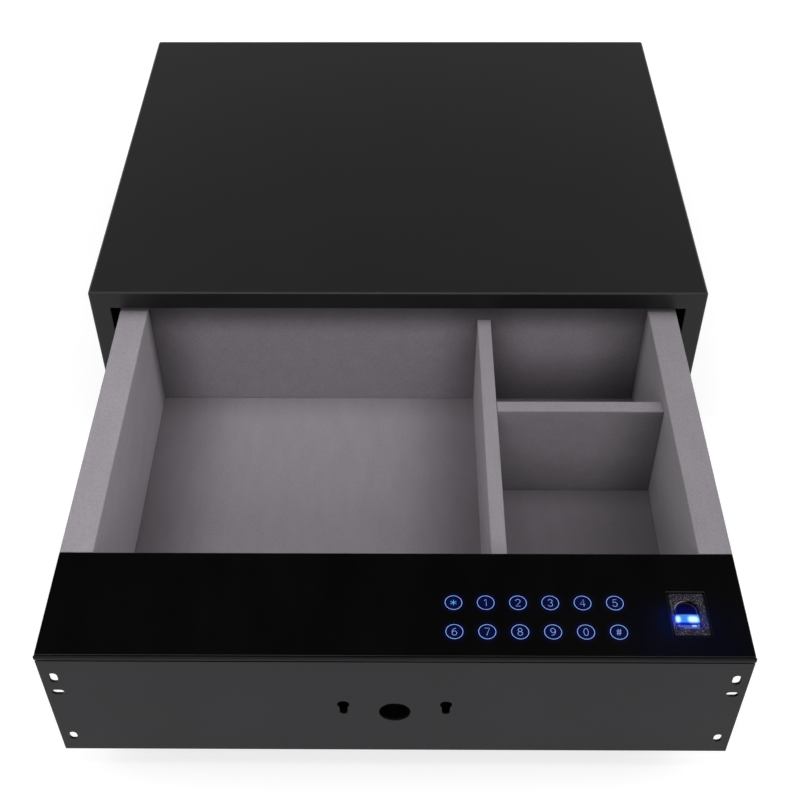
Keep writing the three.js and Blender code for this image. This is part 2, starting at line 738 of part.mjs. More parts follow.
function addControlBoard() {
  const [x0, x1, y0, y1] = controlBoardCorners();
  const z0 = housingFloor + drawerSheet + controlBoard.lift;
  const z1 = z0 + boardThickness;
  const soldered = [boardChip, boardRelay, boardDriver, boardSocket].map((part) => block(x0 + part.x,
    x0 + part.x + part.width, y0 + part.y, y0 + part.y + part.depth, z1 - bite, z1 + part.height));
  const { x, y, radius, height } = boardCapacitor;
  const capacitor = rodZ(radius, x0 + x, y0 + y, z1 - bite, z1 + height, 16);
  addPiece('control_board', carve([block(x0, x1, y0, y1, z0, z1), ...soldered, capacitor]), boardGreen);
}

// Cell holder, open below, with four cells and the hatch that closes it
function addCells() {
  const { x0, x1, y0, y1 } = holderSize();
  const z0 = housingFloor + drawerSheet + seat;
  const room = 2 * cellRadius + 2 * cellGap;
  const holder = carve([block(x0, x1, y0, y1, z0, z0 + room + holderWall)],
    [block(x0 + holderWall, x1 - holderWall, y0 + holderWall, y1 - holderWall, z0 - past, z0 + room)]);
  addPiece('battery_holder', holder, blackPlastic);
  for (let row = 0; row < 2; row += 1) {
    for (let column = 0; column < 2; column += 1) {
      const startX = x0 + holderWall + cellGap + column * (cellLength + cellGap);
      const y = y0 + holderWall + cellGap + cellRadius + row * (2 * cellRadius + cellGap);
      const z = z0 + room - seat - cellRadius;
      const canEnd = startX + cellLength - cellNub.length;
      const nub = rodX(cellNub.radius, y, z, canEnd - bite, startX + cellLength, 12);
      const can = rodX(cellRadius, y, z, startX, canEnd, 20);
      addPiece(`battery_${row * 2 + column + 1}`, carve([can, nub]), cellWrap);
    }
  }
  const door = block(x0 + holderWall + seat, x1 - holderWall - seat, y0 + holderWall + seat,
    y1 - holderWall - seat, housingFloor, housingFloor + drawerSheet);
  addPiece('battery_door', door, blackPlastic);
}

// Lock: a pinion between two racks throws both bolts; a geared motor turns it, or the key through the front

function involute(angle) {
  return Math.tan(angle) - angle;
}

// Gear outline about (x, z); turn is the angle of its first tooth from +Z towards +X
function gearOutline(teeth, x, z, turn) {
  const radius = gearModule * teeth / 2;
  const base = radius * Math.cos(pressureAngle);
  const tip = radius + gearAddendum;
  const root = radius - gearDedendum;
  const halfTooth = Math.PI / (2 * teeth) - gearBacklash / (2 * radius) + involute(pressureAngle);
  const flank = [];
  const start = Math.max(base, root);
  const steps = 3;
  for (let i = 0; i <= steps; i += 1) {
    const r = start + (tip - start) * i / steps;
    flank.push([r, halfTooth - involute(Math.acos(Math.min(1, base / r)))]);
  }
  const half = start > root ? [[root, flank[0][1]], ...flank] : flank;
  const points = [];
  for (let tooth = 0; tooth < teeth; tooth += 1) {
    const middle = turn + tooth * 2 * Math.PI / teeth;
    for (const [r, angle] of half) {
      points.push([x + r * Math.sin(middle - angle), z + r * Math.cos(middle - angle)]);
    }
    for (const [r, angle] of half.slice().reverse()) {
      points.push([x + r * Math.sin(middle + angle), z + r * Math.cos(middle + angle)]);
    }
  }
  return outline(points);
}

// A rack's teeth, standing on their root line towards the pinion; its middle gap lies at x = shift
function rackEdge(pitchZ, towards, firstTooth, count, shift) {
  const pitch = Math.PI * gearModule;
  const slope = Math.tan(pressureAngle);
  const halfAtPitch = pitch / 4 - gearBacklash / 2;
  const rootHalf = halfAtPitch + gearDedendum * slope;
  const tipHalf = halfAtPitch - gearAddendum * slope;
  const rootZ = pitchZ - towards * gearDedendum;
  const tipZ = pitchZ + towards * gearAddendum;
  const points = [];
  for (let i = 0; i < count; i += 1) {
    const middle = (firstTooth + i + 0.5) * pitch + shift;
    points.push([middle - rootHalf, rootZ], [middle - tipHalf, tipZ], [middle + tipHalf, tipZ],
      [middle + rootHalf, rootZ]);
  }
  return points;
}

// One bolt bar: rack, riser, arm through the housing's side, neck through the case's mouth, and head
function addBoltBar(side, hand) {
  const towards = -side;
  const pitchZ = lockAxisZ - towards * pinionRadius;
  const rootZ = pitchZ - towards * gearDedendum;
  const farZ = rootZ - towards * boltHeight;
  const pitch = Math.PI * gearModule;
  const firstTooth = rackBeyondPinion - rackTeeth;
  const shift = side < 0 ? (pinionTeeth % 2) * pitch / 2 : 0;
  const teeth = rackEdge(pitchZ, towards, firstTooth, rackTeeth, shift).map(([x, z]) => [side * x, z]);
  const heel = side * (firstTooth * pitch - rackHeel);
  const knee = side * (boltRiserX + boltHeight);
  const tipX = side * (boltNeckX + boltNeck);
  const riserFoot = Math.min(rootZ, farZ);
  const armTop = boltZ + boltHeight;
  const bar = outline([
    [heel, farZ], [heel, rootZ], ...teeth, [side * boltRiserX, rootZ], [side * boltRiserX, farZ],
  ]);
  const rack = alongY(bar, boltY, boltY + boltThickness);
  const riser = block(Math.min(side * boltRiserX, knee), Math.max(side * boltRiserX, knee), boltY,
    boltY + boltThickness, riserFoot, armTop);
  const arm = block(Math.min(side * boltRiserX, tipX), Math.max(side * boltRiserX, tipX), boltY,
    boltY + boltThickness, boltZ, armTop);
  const headY = frontBackY + boltHeadReach;
  const neckX = [side * boltNeckX, tipX].sort((a, b) => a - b);
  const neck = block(neckX[0], neckX[1], boltY, headY + boltHeadLength, boltZ, armTop);
  const headX = [side * boltNeckX, side * boltTip].sort((a, b) => a - b);
  const head = block(headX[0], headX[1], headY, headY + boltHeadLength, boltZ, armTop);
  addPiece(`bolt_${hand}`, carve([rack, riser, arm, neck, head]), steel);
}

function addGears() {
  const back = gearY + gearThickness;
  const pinion = alongY(gearOutline(pinionTeeth, 0, lockAxisZ, 0), gearY, back);
  const shaftFront = plateBackY + seat + cylinderLength + plugTail.length + plugTail.play;
  const shaft = rodY(pinionShaft, 0, lockAxisZ, shaftFront, back, 20);
  addPiece('lock_pinion', carve([pinion, shaft]), brass);
  const pastTooth = (pinionTeeth / 4 % 1) * 2 * Math.PI / pinionTeeth;
  const turn = 1.5 * Math.PI + pastTooth * pinionTeeth / motorTeeth + Math.PI / motorTeeth;
  const driver = alongY(gearOutline(motorTeeth, motorAxisX, lockAxisZ, turn), gearY, back);
  const stub = rodY(motorShaft, motorAxisX, lockAxisZ, lockPlateY - motorShaftReach, back, 16);
  addPiece('motor_gear', carve([driver, stub]), brass);
}

function addLockPlate() {
  const back = lockPlateY + lockPlateSheet;
  const foot = housingFloor + drawerSheet + seat;
  const section = outline([
    [lockPlateY - lockPlateFoot, foot], [back, foot], [back, lockPlateTop], [lockPlateY, lockPlateTop],
    [lockPlateY, foot + lockPlateSheet], [lockPlateY - lockPlateFoot, foot + lockPlateSheet],
  ]);
  const holes = [
    rodY(bushRadius + seat, 0, lockAxisZ, lockPlateY - past, back + past, 24),
    rodY(motorShaft + seat, motorAxisX, lockAxisZ, lockPlateY - past, back + past, 16),
  ];
  addPiece('lock_plate', carve([alongX(section, -lockPlateHalf, lockPlateHalf)], holes), zinc);
  const bushBack = back + bushProud;
  const bush = turned([
    [pinionShaft + seat, bushBack], [bushRadius, bushBack], [bushRadius, lockPlateY - seat],
    [bushFlange, lockPlateY - seat], [bushFlange, lockPlateY - seat - bushFlangeLength],
    [pinionShaft + seat, lockPlateY - seat - bushFlangeLength], [pinionShaft + seat, bushBack],
  ].reverse(), 0, lockAxisZ);
  addPiece('pinion_bush', bush, brass);
}

function addLockMotor() {
  const back = lockPlateY - seat;
  const front = back - gearbox.depth;
  const left = motorAxisX - gearbox.beforeShaft;
  const body = block(left, left + gearbox.width, front, back,
    lockAxisZ - gearbox.height / 2, lockAxisZ + gearbox.height / 2);
  const bore = rodY(motorShaft + seat, motorAxisX, lockAxisZ, back - gearbox.bore, back + past, 16);
  addPiece('lock_gearbox', carve([body], [bore]), blackPlastic);
  const canX = motorAxisX + motorCan.offset;
  const canBack = front - seat;
  const can = rodY(motorCan.radius, canX, lockAxisZ, canBack - motorCan.length, canBack, 28);
  addPiece('lock_motor', can, zinc);
}

// Guides on the tray's front wall that hold the bolts' arms
function addBoltGuides() {
  const z0 = boltZ - guideWall - seat;
  const z1 = boltZ + boltHeight + guideWall + seat;
  for (const { side, hand } of sides) {
    const x = [side * guideX, side * (guideX + guideWidth)].sort((a, b) => a - b);
    const body = block(x[0], x[1], boltY - guideWall - seat, frontWallY - seat, z0, z1);
    const way = block(x[0] - past, x[1] + past, boltY - seat, boltY + boltThickness + seat,
      boltZ - seat, boltZ + boltHeight + seat);
    addPiece(`bolt_guide_${hand}`, carve([body], [way]), blackPlastic);
  }
}

// Key cylinder behind the round hole, with its turning plug
function addKeyLock() {
  const front = plateBackY + seat;
  const back = front + cylinderLength;
  const seatY = front + cylinderRecess;
  const bore = plugRadius + seat;
  const mouth = keyHoleRadius + cylinderMouthPlay;
  const barrel = turned([
    [mouth, front], [cylinderFlange, front], [cylinderFlange, front + cylinderFlangeLength],
    [cylinderRadius, front + cylinderFlangeLength], [cylinderRadius, back], [bore, back],
    [bore, seatY], [mouth, seatY], [mouth, front],
  ], 0, lockAxisZ, 32);
  addPiece('key_cylinder', barrel, zinc);
  const plugFront = seatY + seat;
  const plug = rodY(plugRadius, 0, lockAxisZ, plugFront, back, 24);
  const tail = block(-plugTail.width / 2, plugTail.width / 2, back - bite, back + plugTail.length,
    lockAxisZ - plugTail.height / 2, lockAxisZ + plugTail.height / 2);
  const slot = block(-keyway.width / 2, keyway.width / 2, plugFront - past, plugFront + keyway.depth,
    lockAxisZ - keyway.height / 2, lockAxisZ + keyway.height / 2);
  addPiece('key_plug', carve([plug, tail], [slot]), brass);
}

// Lining: plush-covered boards and dividers

function addWallLinings() {
  const foot = panFloor + seat;
  const topSkin = flangeTop + seat;
  for (const { side, hand } of sides) {
    const shape = new THREE.Shape();
    shape.moveTo(side * roomSide, foot);
    shape.lineTo(side * roomSide, drawerTop - liningEdge);
    shape.quadraticCurveTo(side * roomSide, drawerTop, side * (roomSide + liningEdge), drawerTop);
    shape.lineTo(side * (halfDrawer - liningEdge), drawerTop);
    shape.quadraticCurveTo(side * halfDrawer, drawerTop, side * halfDrawer, drawerTop - liningEdge);
    shape.lineTo(side * halfDrawer, topSkin);
    shape.lineTo(side * (roomSide + liningBoard), topSkin);
    shape.lineTo(side * (roomSide + liningBoard), foot);
    addPiece(`lining_${hand}`, alongY(shape, frontBackY + seat, backWallY - seat, 3), plush);
  }
  const half = roomSide - seat;
  const back = new THREE.Shape();
  back.moveTo(roomBackY, foot);
  back.lineTo(roomBackY, drawerTop - liningEdge);
  back.quadraticCurveTo(roomBackY, drawerTop, roomBackY + liningEdge, drawerTop);
  back.lineTo(backWallY + backFlange, drawerTop);
  back.lineTo(backWallY + backFlange, topSkin);
  back.lineTo(roomBackY + liningBoard, topSkin);
  back.lineTo(roomBackY + liningBoard, foot);
  addPiece('lining_back', alongX(back, -half, half, 3), plush);
  addPiece('lining_front', block(-half, half, frontPadY, roomFrontY, foot, flangeTop - seat), plush);
  addPiece('lining_floor', block(-half, half, roomFrontY + seat, roomBackY - seat, foot, roomFloor), plush);
}

function addDividers() {
  const foot = roomFloor + seat;
  const edges = [0, 0, dividerEdge, dividerEdge];
  const mainLeft = mainDividerX - dividerThickness / 2;
  const mainRight = mainDividerX + dividerThickness / 2;
  const main = roundedOutline(mainLeft, mainRight, foot, dividerTop, edges);
  addPiece('divider_main', alongY(main, roomFrontY + seat, roomBackY - seat, 3), plush);
  const crossY = roomFrontY + crossDividerFromFront;
  const cross = roundedOutline(crossY - dividerThickness / 2, crossY + dividerThickness / 2, foot,
    dividerTop, edges);
  addPiece('divider_cross', alongX(cross, mainRight + seat, roomSide - seat, 3), plush);
}

addCaseShell();
addCaseBase();
addCaseBack();
addRearBuffers();
addSlideBrackets();
addBracketScrews();
addSlideMembers();
addBallCages();
addDrawerPan();
addDrawerWalls();
addFrontPlate();
addFrontHousing();
addTopCover();
addTouchGlass();
addKeypadBoard();
addFingerprintReader();
addKeypadRibbon();
addControlBoard();
addCells();
addLockPlate();
addLockMotor();
addGears();
sides.forEach(({ side, hand }) => addBoltBar(side, hand));
addBoltGuides();
addKeyLock();
addWallLinings();
addDividers();

export default safe;
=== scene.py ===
"""Looks of an under desk drawer safe: steel case, plush-lined drawer, touch keypad and fingerprint reader."""

import logging
import math
from abc import ABC, abstractmethod
from dataclasses import dataclass, field
from enum import Enum
from functools import reduce
from typing import Callable, Iterable, Sequence

import bmesh
import bpy
from mathutils import Matrix, Vector


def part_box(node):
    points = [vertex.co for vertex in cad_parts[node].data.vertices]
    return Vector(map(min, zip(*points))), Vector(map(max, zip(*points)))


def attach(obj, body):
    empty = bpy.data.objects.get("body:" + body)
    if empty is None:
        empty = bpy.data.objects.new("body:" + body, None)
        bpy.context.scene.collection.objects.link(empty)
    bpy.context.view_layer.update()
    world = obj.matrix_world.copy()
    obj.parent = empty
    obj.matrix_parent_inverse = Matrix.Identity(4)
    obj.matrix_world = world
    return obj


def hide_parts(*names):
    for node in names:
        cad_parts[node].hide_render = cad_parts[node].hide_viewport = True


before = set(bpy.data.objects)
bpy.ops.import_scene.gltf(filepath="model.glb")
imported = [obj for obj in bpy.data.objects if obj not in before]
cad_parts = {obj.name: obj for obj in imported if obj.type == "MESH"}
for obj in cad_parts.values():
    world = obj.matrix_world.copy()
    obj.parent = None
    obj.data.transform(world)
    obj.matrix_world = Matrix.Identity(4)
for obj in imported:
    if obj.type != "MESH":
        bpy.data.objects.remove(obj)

log = logging.getLogger("drawer_safe")

MM = 0.001
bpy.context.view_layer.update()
SAME_CORNER = 2e-6
FLAT_BELOW = 0.3
SHARP_ABOVE = 38
MIDDLE_PULL = 4
SIGN_MIDDLE = (0.3, 0.5)
FLOAT = "NodeSocketFloat"
WHOLE = "NodeSocketInt"
Point = tuple[float, float]
Colour = tuple[float, float, float]
Sizes = dict[str, tuple[str, float | int]]
Socket = bpy.types.NodeSocket


class Body(Enum):
    """Moving bodies of the safe that pieces ride on."""

    CASE = "case"
    DRAWER = "drawer"
    MIDDLE_SLIDE_LEFT = "slide_middle_left"
    MIDDLE_SLIDE_RIGHT = "slide_middle_right"
    OUTER_CAGE_LEFT = "ball_cage_outer_left"
    OUTER_CAGE_RIGHT = "ball_cage_outer_right"
    INNER_CAGE_LEFT = "ball_cage_inner_left"
    INNER_CAGE_RIGHT = "ball_cage_inner_right"
    BOLT_LEFT = "bolt_left"
    BOLT_RIGHT = "bolt_right"


class Slot(Enum):
    """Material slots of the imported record."""

    SATIN_STEEL = "satin_black_steel"
    CHARCOAL_STEEL = "charcoal_steel"
    ZINC = "zinc_steel"
    BOLT_STEEL = "bolt_steel"
    BLACK_GLASS = "black_glass"
    SENSOR_GLASS = "sensor_glass"
    PLASTIC = "black_plastic"
    PLUSH = "plush"


def linear(red: float, green: float, blue: float) -> Colour:
    """Scene colour of a screen colour.

    Args:
        red, green, blue: Screen values from 0 to 255.

    Returns:
        The same colour in linear light.
    """
    values = (channel / 255 for channel in (red, green, blue))
    return tuple(v / 12.92 if v <= 0.04045 else ((v + 0.055) / 1.055) ** 2.4 for v in values)


class Graph:
    """Node tree with short calls for adding and linking nodes."""

    def __init__(self, tree: bpy.types.NodeTree) -> None:
        """Keeps the tree whose nodes are added."""
        self.tree = tree

    def add(self, kind: str, inputs: dict | None = None, **settings: object) -> bpy.types.Node:
        """Adds a node.

        Args:
            kind: Type name of the node.
            inputs: Values or output sockets, by the input's name or number.
            **settings: Properties of the node.

        Returns:
            The new node.
        """
        node = self.tree.nodes.new(kind)
        for key, value in settings.items():
            setattr(node, key, value)
        for key, value in (inputs or {}).items():
            if isinstance(value, Socket):
                self.tree.links.new(value, node.inputs[key])
            else:
                node.inputs[key].default_value = value
        return node

    def math(self, operation: str, *values: object) -> Socket:
        """Result of a Math node on the given numbers or sockets."""
        return self.add("ShaderNodeMath", dict(enumerate(values)), operation=operation).outputs[0]

    def product(self, *values: object) -> Socket:
        """Product of numbers or sockets."""
        return reduce(lambda total, value: self.math("MULTIPLY", total, value), values)

    def length(self, *parts: Socket) -> Socket:
        """Length of a vector with two parts."""
        return self.math("SQRT", self.math("ADD", *(self.product(part, part) for part in parts)))

    def ramp(self, value: Socket, start: float, stop: float, low: float = 1.0, high: float = 0.0,
             curve: str = "SMOOTHSTEP") -> Socket:
        """Number that goes from low to high while the value goes from start to stop."""
        inputs = {"Value": value, "From Min": start, "From Max": stop, "To Min": low, "To Max": high}
        return self.add("ShaderNodeMapRange", inputs, interpolation_type=curve).outputs[0]

    def blended(self, share: object, start: object, end: object) -> Socket:
        """Number that goes from the start to the end with the share."""
        return self.add("ShaderNodeMix", {0: share, 2: start, 3: end}).outputs[0]


class SurfaceGraph(Graph):
    """Node tree of one material with a Principled shader, on Object coordinates."""

    NOISE_LOW, NOISE_HIGH = 0.3, 0.7

    def __init__(self, name: str, values: dict) -> None:
        """Makes the material.

        Args:
            name: Name of the material.
            values: Plain values of the shader's sockets.
        """
        self.material = bpy.data.materials.new(name)
        self.material.use_nodes = True
        super().__init__(self.material.node_tree)
        self.tree.nodes.clear()
        self.shader = self.add("ShaderNodeBsdfPrincipled", values)
        self.add("ShaderNodeOutputMaterial", {"Surface": self.shader.outputs[0]})
        self.place = self.add("ShaderNodeTexCoord").outputs["Object"]

    def noise(self, grain: float, detail: float = 2.0, stretch: Sequence[float] = (1, 1, 1)) -> Socket:
        """Noise of a given grain.

        Args:
            grain: Size of the grain in millimetres.
            detail: Octaves of finer noise.
            stretch: How often the grain repeats along each axis against the first.

        Returns:
            The noise value, about 0.5.
        """
        place = self.add("ShaderNodeMapping", {"Vector": self.place, "Scale": stretch}).outputs[0]
        inputs = {"Vector": place, "Scale": 1 / (grain * MM), "Detail": detail}
        return self.add("ShaderNodeTexNoise", inputs).outputs["Fac"]

    def spread(self, value: Socket, low: float, high: float, clear: float = 0.0) -> Socket:
        """Noise value spread over a range.

        Args:
            value: Noise socket.
            low: Result at the noise's usual low.
            high: Result at the noise's usual high.
            clear: Share of the noise's range that is cut off at the low end.

        Returns:
            The spread value.
        """
        start = self.NOISE_LOW + (self.NOISE_HIGH - self.NOISE_LOW) * clear
        return self.ramp(value, start, self.NOISE_HIGH, low, high, "LINEAR")

    def tinted(self, colour: Colour, share: Socket) -> None:
        """Sets the base colour to a colour times a share."""
        self.tree.links.new(self.scaled(colour, share), self.shader.inputs["Base Color"])

    def rough(self, noise: Socket, low: float, high: float) -> None:
        """Sets the roughness to a noise value spread over a range."""
        self.tree.links.new(self.spread(noise, low, high), self.shader.inputs["Roughness"])

    def parts(self) -> Sequence[Socket]:
        """The three coordinates of the point."""
        return self.add("ShaderNodeSeparateXYZ", {0: self.place}).outputs

    def scaled(self, colour: Colour | Socket, share: Socket | float) -> Socket:
        """A colour times a share."""
        inputs = {"Vector": colour, "Scale": share}
        return self.add("ShaderNodeVectorMath", inputs, operation="SCALE").outputs[0]

    def summed(self, colours: Sequence[Socket]) -> Socket:
        """The sum of colours."""
        kind = "ShaderNodeVectorMath"
        return reduce(lambda total, colour: self.add(kind, {0: total, 1: colour}).outputs[0], colours)

    def lit(self, colours: Sequence[Socket]) -> None:
        """Links the sum of colours as the surface's own light."""
        self.tree.links.new(self.summed(colours), self.shader.inputs["Emission Color"])

    def raised(self, height: Socket, strength: float, depth: float) -> None:
        """Bumps the surface.

        Args:
            height: Height socket, from 0 to 1.
            strength: Strength of the bump.
            depth: Depth of the bump in millimetres.
        """
        inputs = {"Height": height, "Strength": strength, "Distance": depth * MM}
        bump = self.add("ShaderNodeBump", inputs).outputs[0]
        self.tree.links.new(bump, self.shader.inputs["Normal"])


@dataclass(frozen=True)
class Finish(ABC):
    """One finish of the safe."""

    name: str

    def material(self) -> bpy.types.Material:
        """The finish's material, made once."""
        return bpy.data.materials.get(self.name) or self.make()

    @abstractmethod
    def make(self) -> bpy.types.Material:
        """Makes the material.

        Returns:
            The material.
        """


@dataclass(frozen=True)
class Grained(Finish):
    """Finish with a fine grain, and with clouds that are a little paler or darker."""

    colour: Colour
    roughness: float = 0.5
    grain: float = 0.5
    relief: float = 0.1
    depth: float = 0.05
    detail: float = 2.0
    lines: Sequence[float] = (1, 1, 1)
    uneven: Point = (-0.05, 0.05)
    cloud_grain: float = 60.0
    cloud_detail: float = 3.0
    clouds: Point = (0.93, 1.07)

    @abstractmethod
    def values(self) -> dict[str, float]:
        """Plain values of the shader's sockets."""

    def make(self) -> bpy.types.Material:
        """Makes the finish.

        Returns:
            The material.
        """
        graph = SurfaceGraph(self.name, self.values())
        grain = graph.noise(self.grain, self.detail, self.lines)
        clouds = graph.noise(self.cloud_grain, self.cloud_detail)
        graph.tinted(self.colour, graph.spread(clouds, *self.clouds))
        graph.rough(grain, *(self.roughness + shift for shift in self.uneven))
        graph.raised(grain, self.relief, self.depth)
        return graph.material


@dataclass(frozen=True)
class PowderCoat(Grained):
    """Baked powder paint on sheet steel, with the fine skin of an orange peel."""

    relief: float = 0.12
    uneven: Point = (-0.03, 0.04)
    level: float = 0.3

    def values(self) -> dict[str, float]:
        """Plain values of the paint's shader."""
        return {"IOR": 1.5, "Specular IOR Level": self.level}


@dataclass(frozen=True)
class PlatedMetal(Grained):
    """Rolled or plated metal with fine drawing lines along one axis."""

    grain: float = 0.35
    relief: float = 0.08
    depth: float = 0.02
    detail: float = 3.0
    lines: Sequence[float] = (1, 0.03, 1)
    uneven: Point = (-0.08, 0.1)
    cloud_grain: float = 30.0
    cloud_detail: float = 2.0
    clouds: Point = (0.95, 1.03)

    def values(self) -> dict[str, float]:
        """Plain values of the metal's shader."""
        return {"Metallic": 1.0}


@dataclass(frozen=True)
class MouldedPlastic(Grained):
    """Spark-eroded grain of moulded plastic, or rubber."""

    roughness: float = 0.55
    grain: float = 0.4
    relief: float = 0.2
    depth: float = 0.04
    uneven: Point = (-0.05, 0.08)
    cloud_grain: float = 12.0
    clouds: Point = (0.9, 1.1)

    def values(self) -> dict[str, float]:
        """Plain values of the plastic's shader."""
        return {"IOR": 1.46}


@dataclass(frozen=True)
class PaintedShade:
    """Painted shade: the pile's colour made darker towards a neighbouring board, where shade falls."""

    axis: int
    at: float
    side: int
    reach: float
    loss: float
    below: float = 200.0
    overlap: float = 0.02

    def share(self, graph: SurfaceGraph, parts: Sequence[Socket]) -> Socket:
        """Share of the colour that the painted shade leaves.

        Args:
            graph: Tree of the pile.
            parts: Coordinates of the point.

        Returns:
            The share, 1 away from the neighbour and beyond it.
        """
        away = graph.math("MULTIPLY", graph.math("SUBTRACT", parts[self.axis], self.at * MM), self.side)
        lost = graph.ramp(away, 0.0, self.reach * MM, self.loss)
        on_side = graph.math("GREATER_THAN", away, -self.overlap * MM)
        under = graph.math("LESS_THAN", parts[2], self.below * MM)
        return graph.math("SUBTRACT", 1.0, graph.product(lost, on_side, under))


@dataclass(frozen=True)
class Plush(Finish):
    """Short brushed pile on the lining boards, with painted shade where it is given."""

    colour: Colour
    painted_shade: Sequence[PaintedShade] = ()
    grain: float = 0.7
    relief: float = 0.35
    depth: float = 0.35
    tufts: Point = (0.86, 1.12)
    stroke_grain: float = 9.0
    strokes: Point = (0.96, 1.04)

    def make(self) -> bpy.types.Material:
        """Makes the pile.

        Returns:
            The material.
        """
        values = {"Specular IOR Level": 0.1, "Sheen Weight": 0.12, "Sheen Roughness": 0.6, "Roughness": 0.95}
        graph = SurfaceGraph(self.name, values)
        pile = graph.noise(self.grain, 4)
        brushed = graph.noise(self.stroke_grain, 4, (1, 0.3, 1))
        shades = [graph.spread(pile, *self.tufts), graph.spread(brushed, *self.strokes)]
        parts = graph.parts()
        # painted shade: darker zones towards neighbouring boards and under the case's lip
        shades += [shaded_zone.share(graph, parts) for shaded_zone in self.painted_shade]
        graph.tinted(self.colour, graph.product(*shades))
        graph.raised(pile, self.relief, self.depth)
        return graph.material


@dataclass(frozen=True)
class LampSpot:
    """Soft patch of light: its middle, half sizes and edge in millimetres, and its colour."""

    middle: Point
    half: Point
    edge: float
    colour: Colour

    def light(self, graph: SurfaceGraph, parts: Sequence[Socket]) -> Socket:
        """The patch's colour at each point.

        Args:
            graph: Tree of the lit material.
            parts: Coordinates of the point.

        Returns:
            The colour.
        """
        past = []
        for axis in (0, 1):
            away = graph.math("ABSOLUTE", graph.math("SUBTRACT", parts[axis], self.middle[axis] * MM))
            past.append(graph.math("MAXIMUM", graph.math("SUBTRACT", away, self.half[axis] * MM), 0.0))
        share = graph.ramp(graph.length(*past), 0.0, self.edge * MM, curve="SMOOTHERSTEP")
        return graph.scaled(self.colour, share)


@dataclass(frozen=True)
class PaintedGlintArc:
    """Painted highlight along a part of a round rim, as far as a patch of light reaches."""

    middle: Point
    radius: float
    width: float
    patch: LampSpot

    def light(self, graph: SurfaceGraph, parts: Sequence[Socket]) -> Socket:
        """The glint's colour at each point.

        Args:
            graph: Tree of the lit material.
            parts: Coordinates of the point.

        Returns:
            The colour.
        """
        far = graph.length(*(graph.math("SUBTRACT", parts[axis], self.middle[axis] * MM) for axis in (0, 1)))
        off = graph.math("ABSOLUTE", graph.math("SUBTRACT", far, self.radius * MM))
        share = graph.ramp(off, 0.0, self.width * MM, curve="LINEAR")
        return graph.scaled(self.patch.light(graph, parts), share)


@dataclass(frozen=True)
class KeyGlow:
    """Light that spreads in the glass round the keys, which stand in columns and rows."""

    first: Point
    pitch: Point
    counts: tuple[int, int]
    ring: float
    reach: float
    fill: Colour
    haze: Colour
    soft: float = 0.4

    def light(self, graph: SurfaceGraph, parts: Sequence[Socket]) -> Socket:
        """The glow's colour at each point.

        Args:
            graph: Tree of the lit material.
            parts: Coordinates of the point.

        Returns:
            The colour.
        """
        away, inside = [], []
        for axis in (0, 1):
            pitch = self.pitch[axis] * MM
            steps = graph.math("DIVIDE", graph.math("SUBTRACT", parts[axis], self.first[axis] * MM), pitch)
            key = graph.math("ROUND", steps)
            away.append(graph.math("MULTIPLY", graph.math("SUBTRACT", steps, key), pitch))
            inside.append(graph.math("GREATER_THAN", key, -0.5))
            inside.append(graph.math("LESS_THAN", key, self.counts[axis] - 0.5))
        on_pad, far = graph.product(*inside), graph.length(*away)
        zones = ((self.fill, self.ring - self.soft, self.ring), (self.haze, self.ring, self.reach))
        return graph.summed([
            graph.scaled(colour, graph.product(graph.ramp(far, start * MM, stop * MM), on_pad))
            for colour, start, stop in zones])


@dataclass(frozen=True)
class Speckled(Finish):
    """Dark plastic with pale metallic flecks inside a field, under the light that spills on it."""

    colour: Colour
    fleck: Colour
    middle: Point
    half: Point
    spill: Sequence[LampSpot]
    grain: float = 0.5
    bare: float = 0.55
    cluster_grain: float = 1.7
    clusters: Point = (0.2, 1.2)
    relief: float = 0.3
    depth: float = 0.04

    def make(self) -> bpy.types.Material:
        """Makes the flecked plastic.

        Returns:
            The material.
        """
        values = {"Roughness": 0.5, "Specular IOR Level": 0.03, "Emission Strength": 1.0}
        graph = SurfaceGraph(self.name, values)
        parts = graph.parts()
        flecked = LampSpot(self.middle, self.half, 0.5, (1, 1, 1)).light(graph, parts)
        fine = graph.spread(graph.noise(self.grain, 0), 0.0, 1.0, self.bare)
        coarse = graph.spread(graph.noise(self.cluster_grain, 1), *self.clusters)
        flecks = graph.product(fine, coarse, flecked)
        mixed = graph.summed([graph.scaled(self.fleck, flecks), graph.scaled(self.colour, 1.0)])
        graph.tree.links.new(mixed, graph.shader.inputs["Base Color"])
        graph.lit([spot.light(graph, parts) for spot in self.spill])
        graph.raised(flecks, self.relief, self.depth)
        return graph.material


@dataclass(frozen=True)
class PanelGlass(Finish):
    """Toughened glass, printed black behind and lit from behind at the keys and beside the reader."""

    colour: Colour
    glows: Sequence[LampSpot | KeyGlow]
    wipe_grain: float = 26.0
    wipes: Point = (0.8, 1.2)
    roughness: Point = (0.07, 0.11)

    def make(self) -> bpy.types.Material:
        """Makes the glass.

        Returns:
            The material.
        """
        values = {"IOR": 1.5, "Specular IOR Level": 0.4, "Emission Strength": 1.0}
        graph = SurfaceGraph(self.name, values)
        wiped = graph.noise(self.wipe_grain, 4, (1, 0.35, 1))
        graph.tinted(self.colour, graph.spread(wiped, *self.wipes))
        graph.rough(wiped, *self.roughness)
        parts = graph.parts()
        graph.lit([glow.light(graph, parts) for glow in self.glows])
        return graph.material


@dataclass(frozen=True)
class ReaderLens(Finish):
    """Deep blue lens over a light bar with two lamps, with painted highlights on its rim."""

    spots: Sequence[LampSpot | PaintedGlintArc]
    grain: float = 2.5
    relief: float = 0.15
    depth: float = 0.1

    def make(self) -> bpy.types.Material:
        """Makes the lens.

        Returns:
            The material.
        """
        values = {"Base Color": (0.0008, 0.0012, 0.008, 1), "Roughness": 0.08, "Emission Strength": 1.0}
        graph = SurfaceGraph(self.name, values)
        parts = graph.parts()
        graph.lit([spot.light(graph, parts) for spot in self.spots])
        graph.raised(graph.noise(self.grain), self.relief, self.depth)
        return graph.material


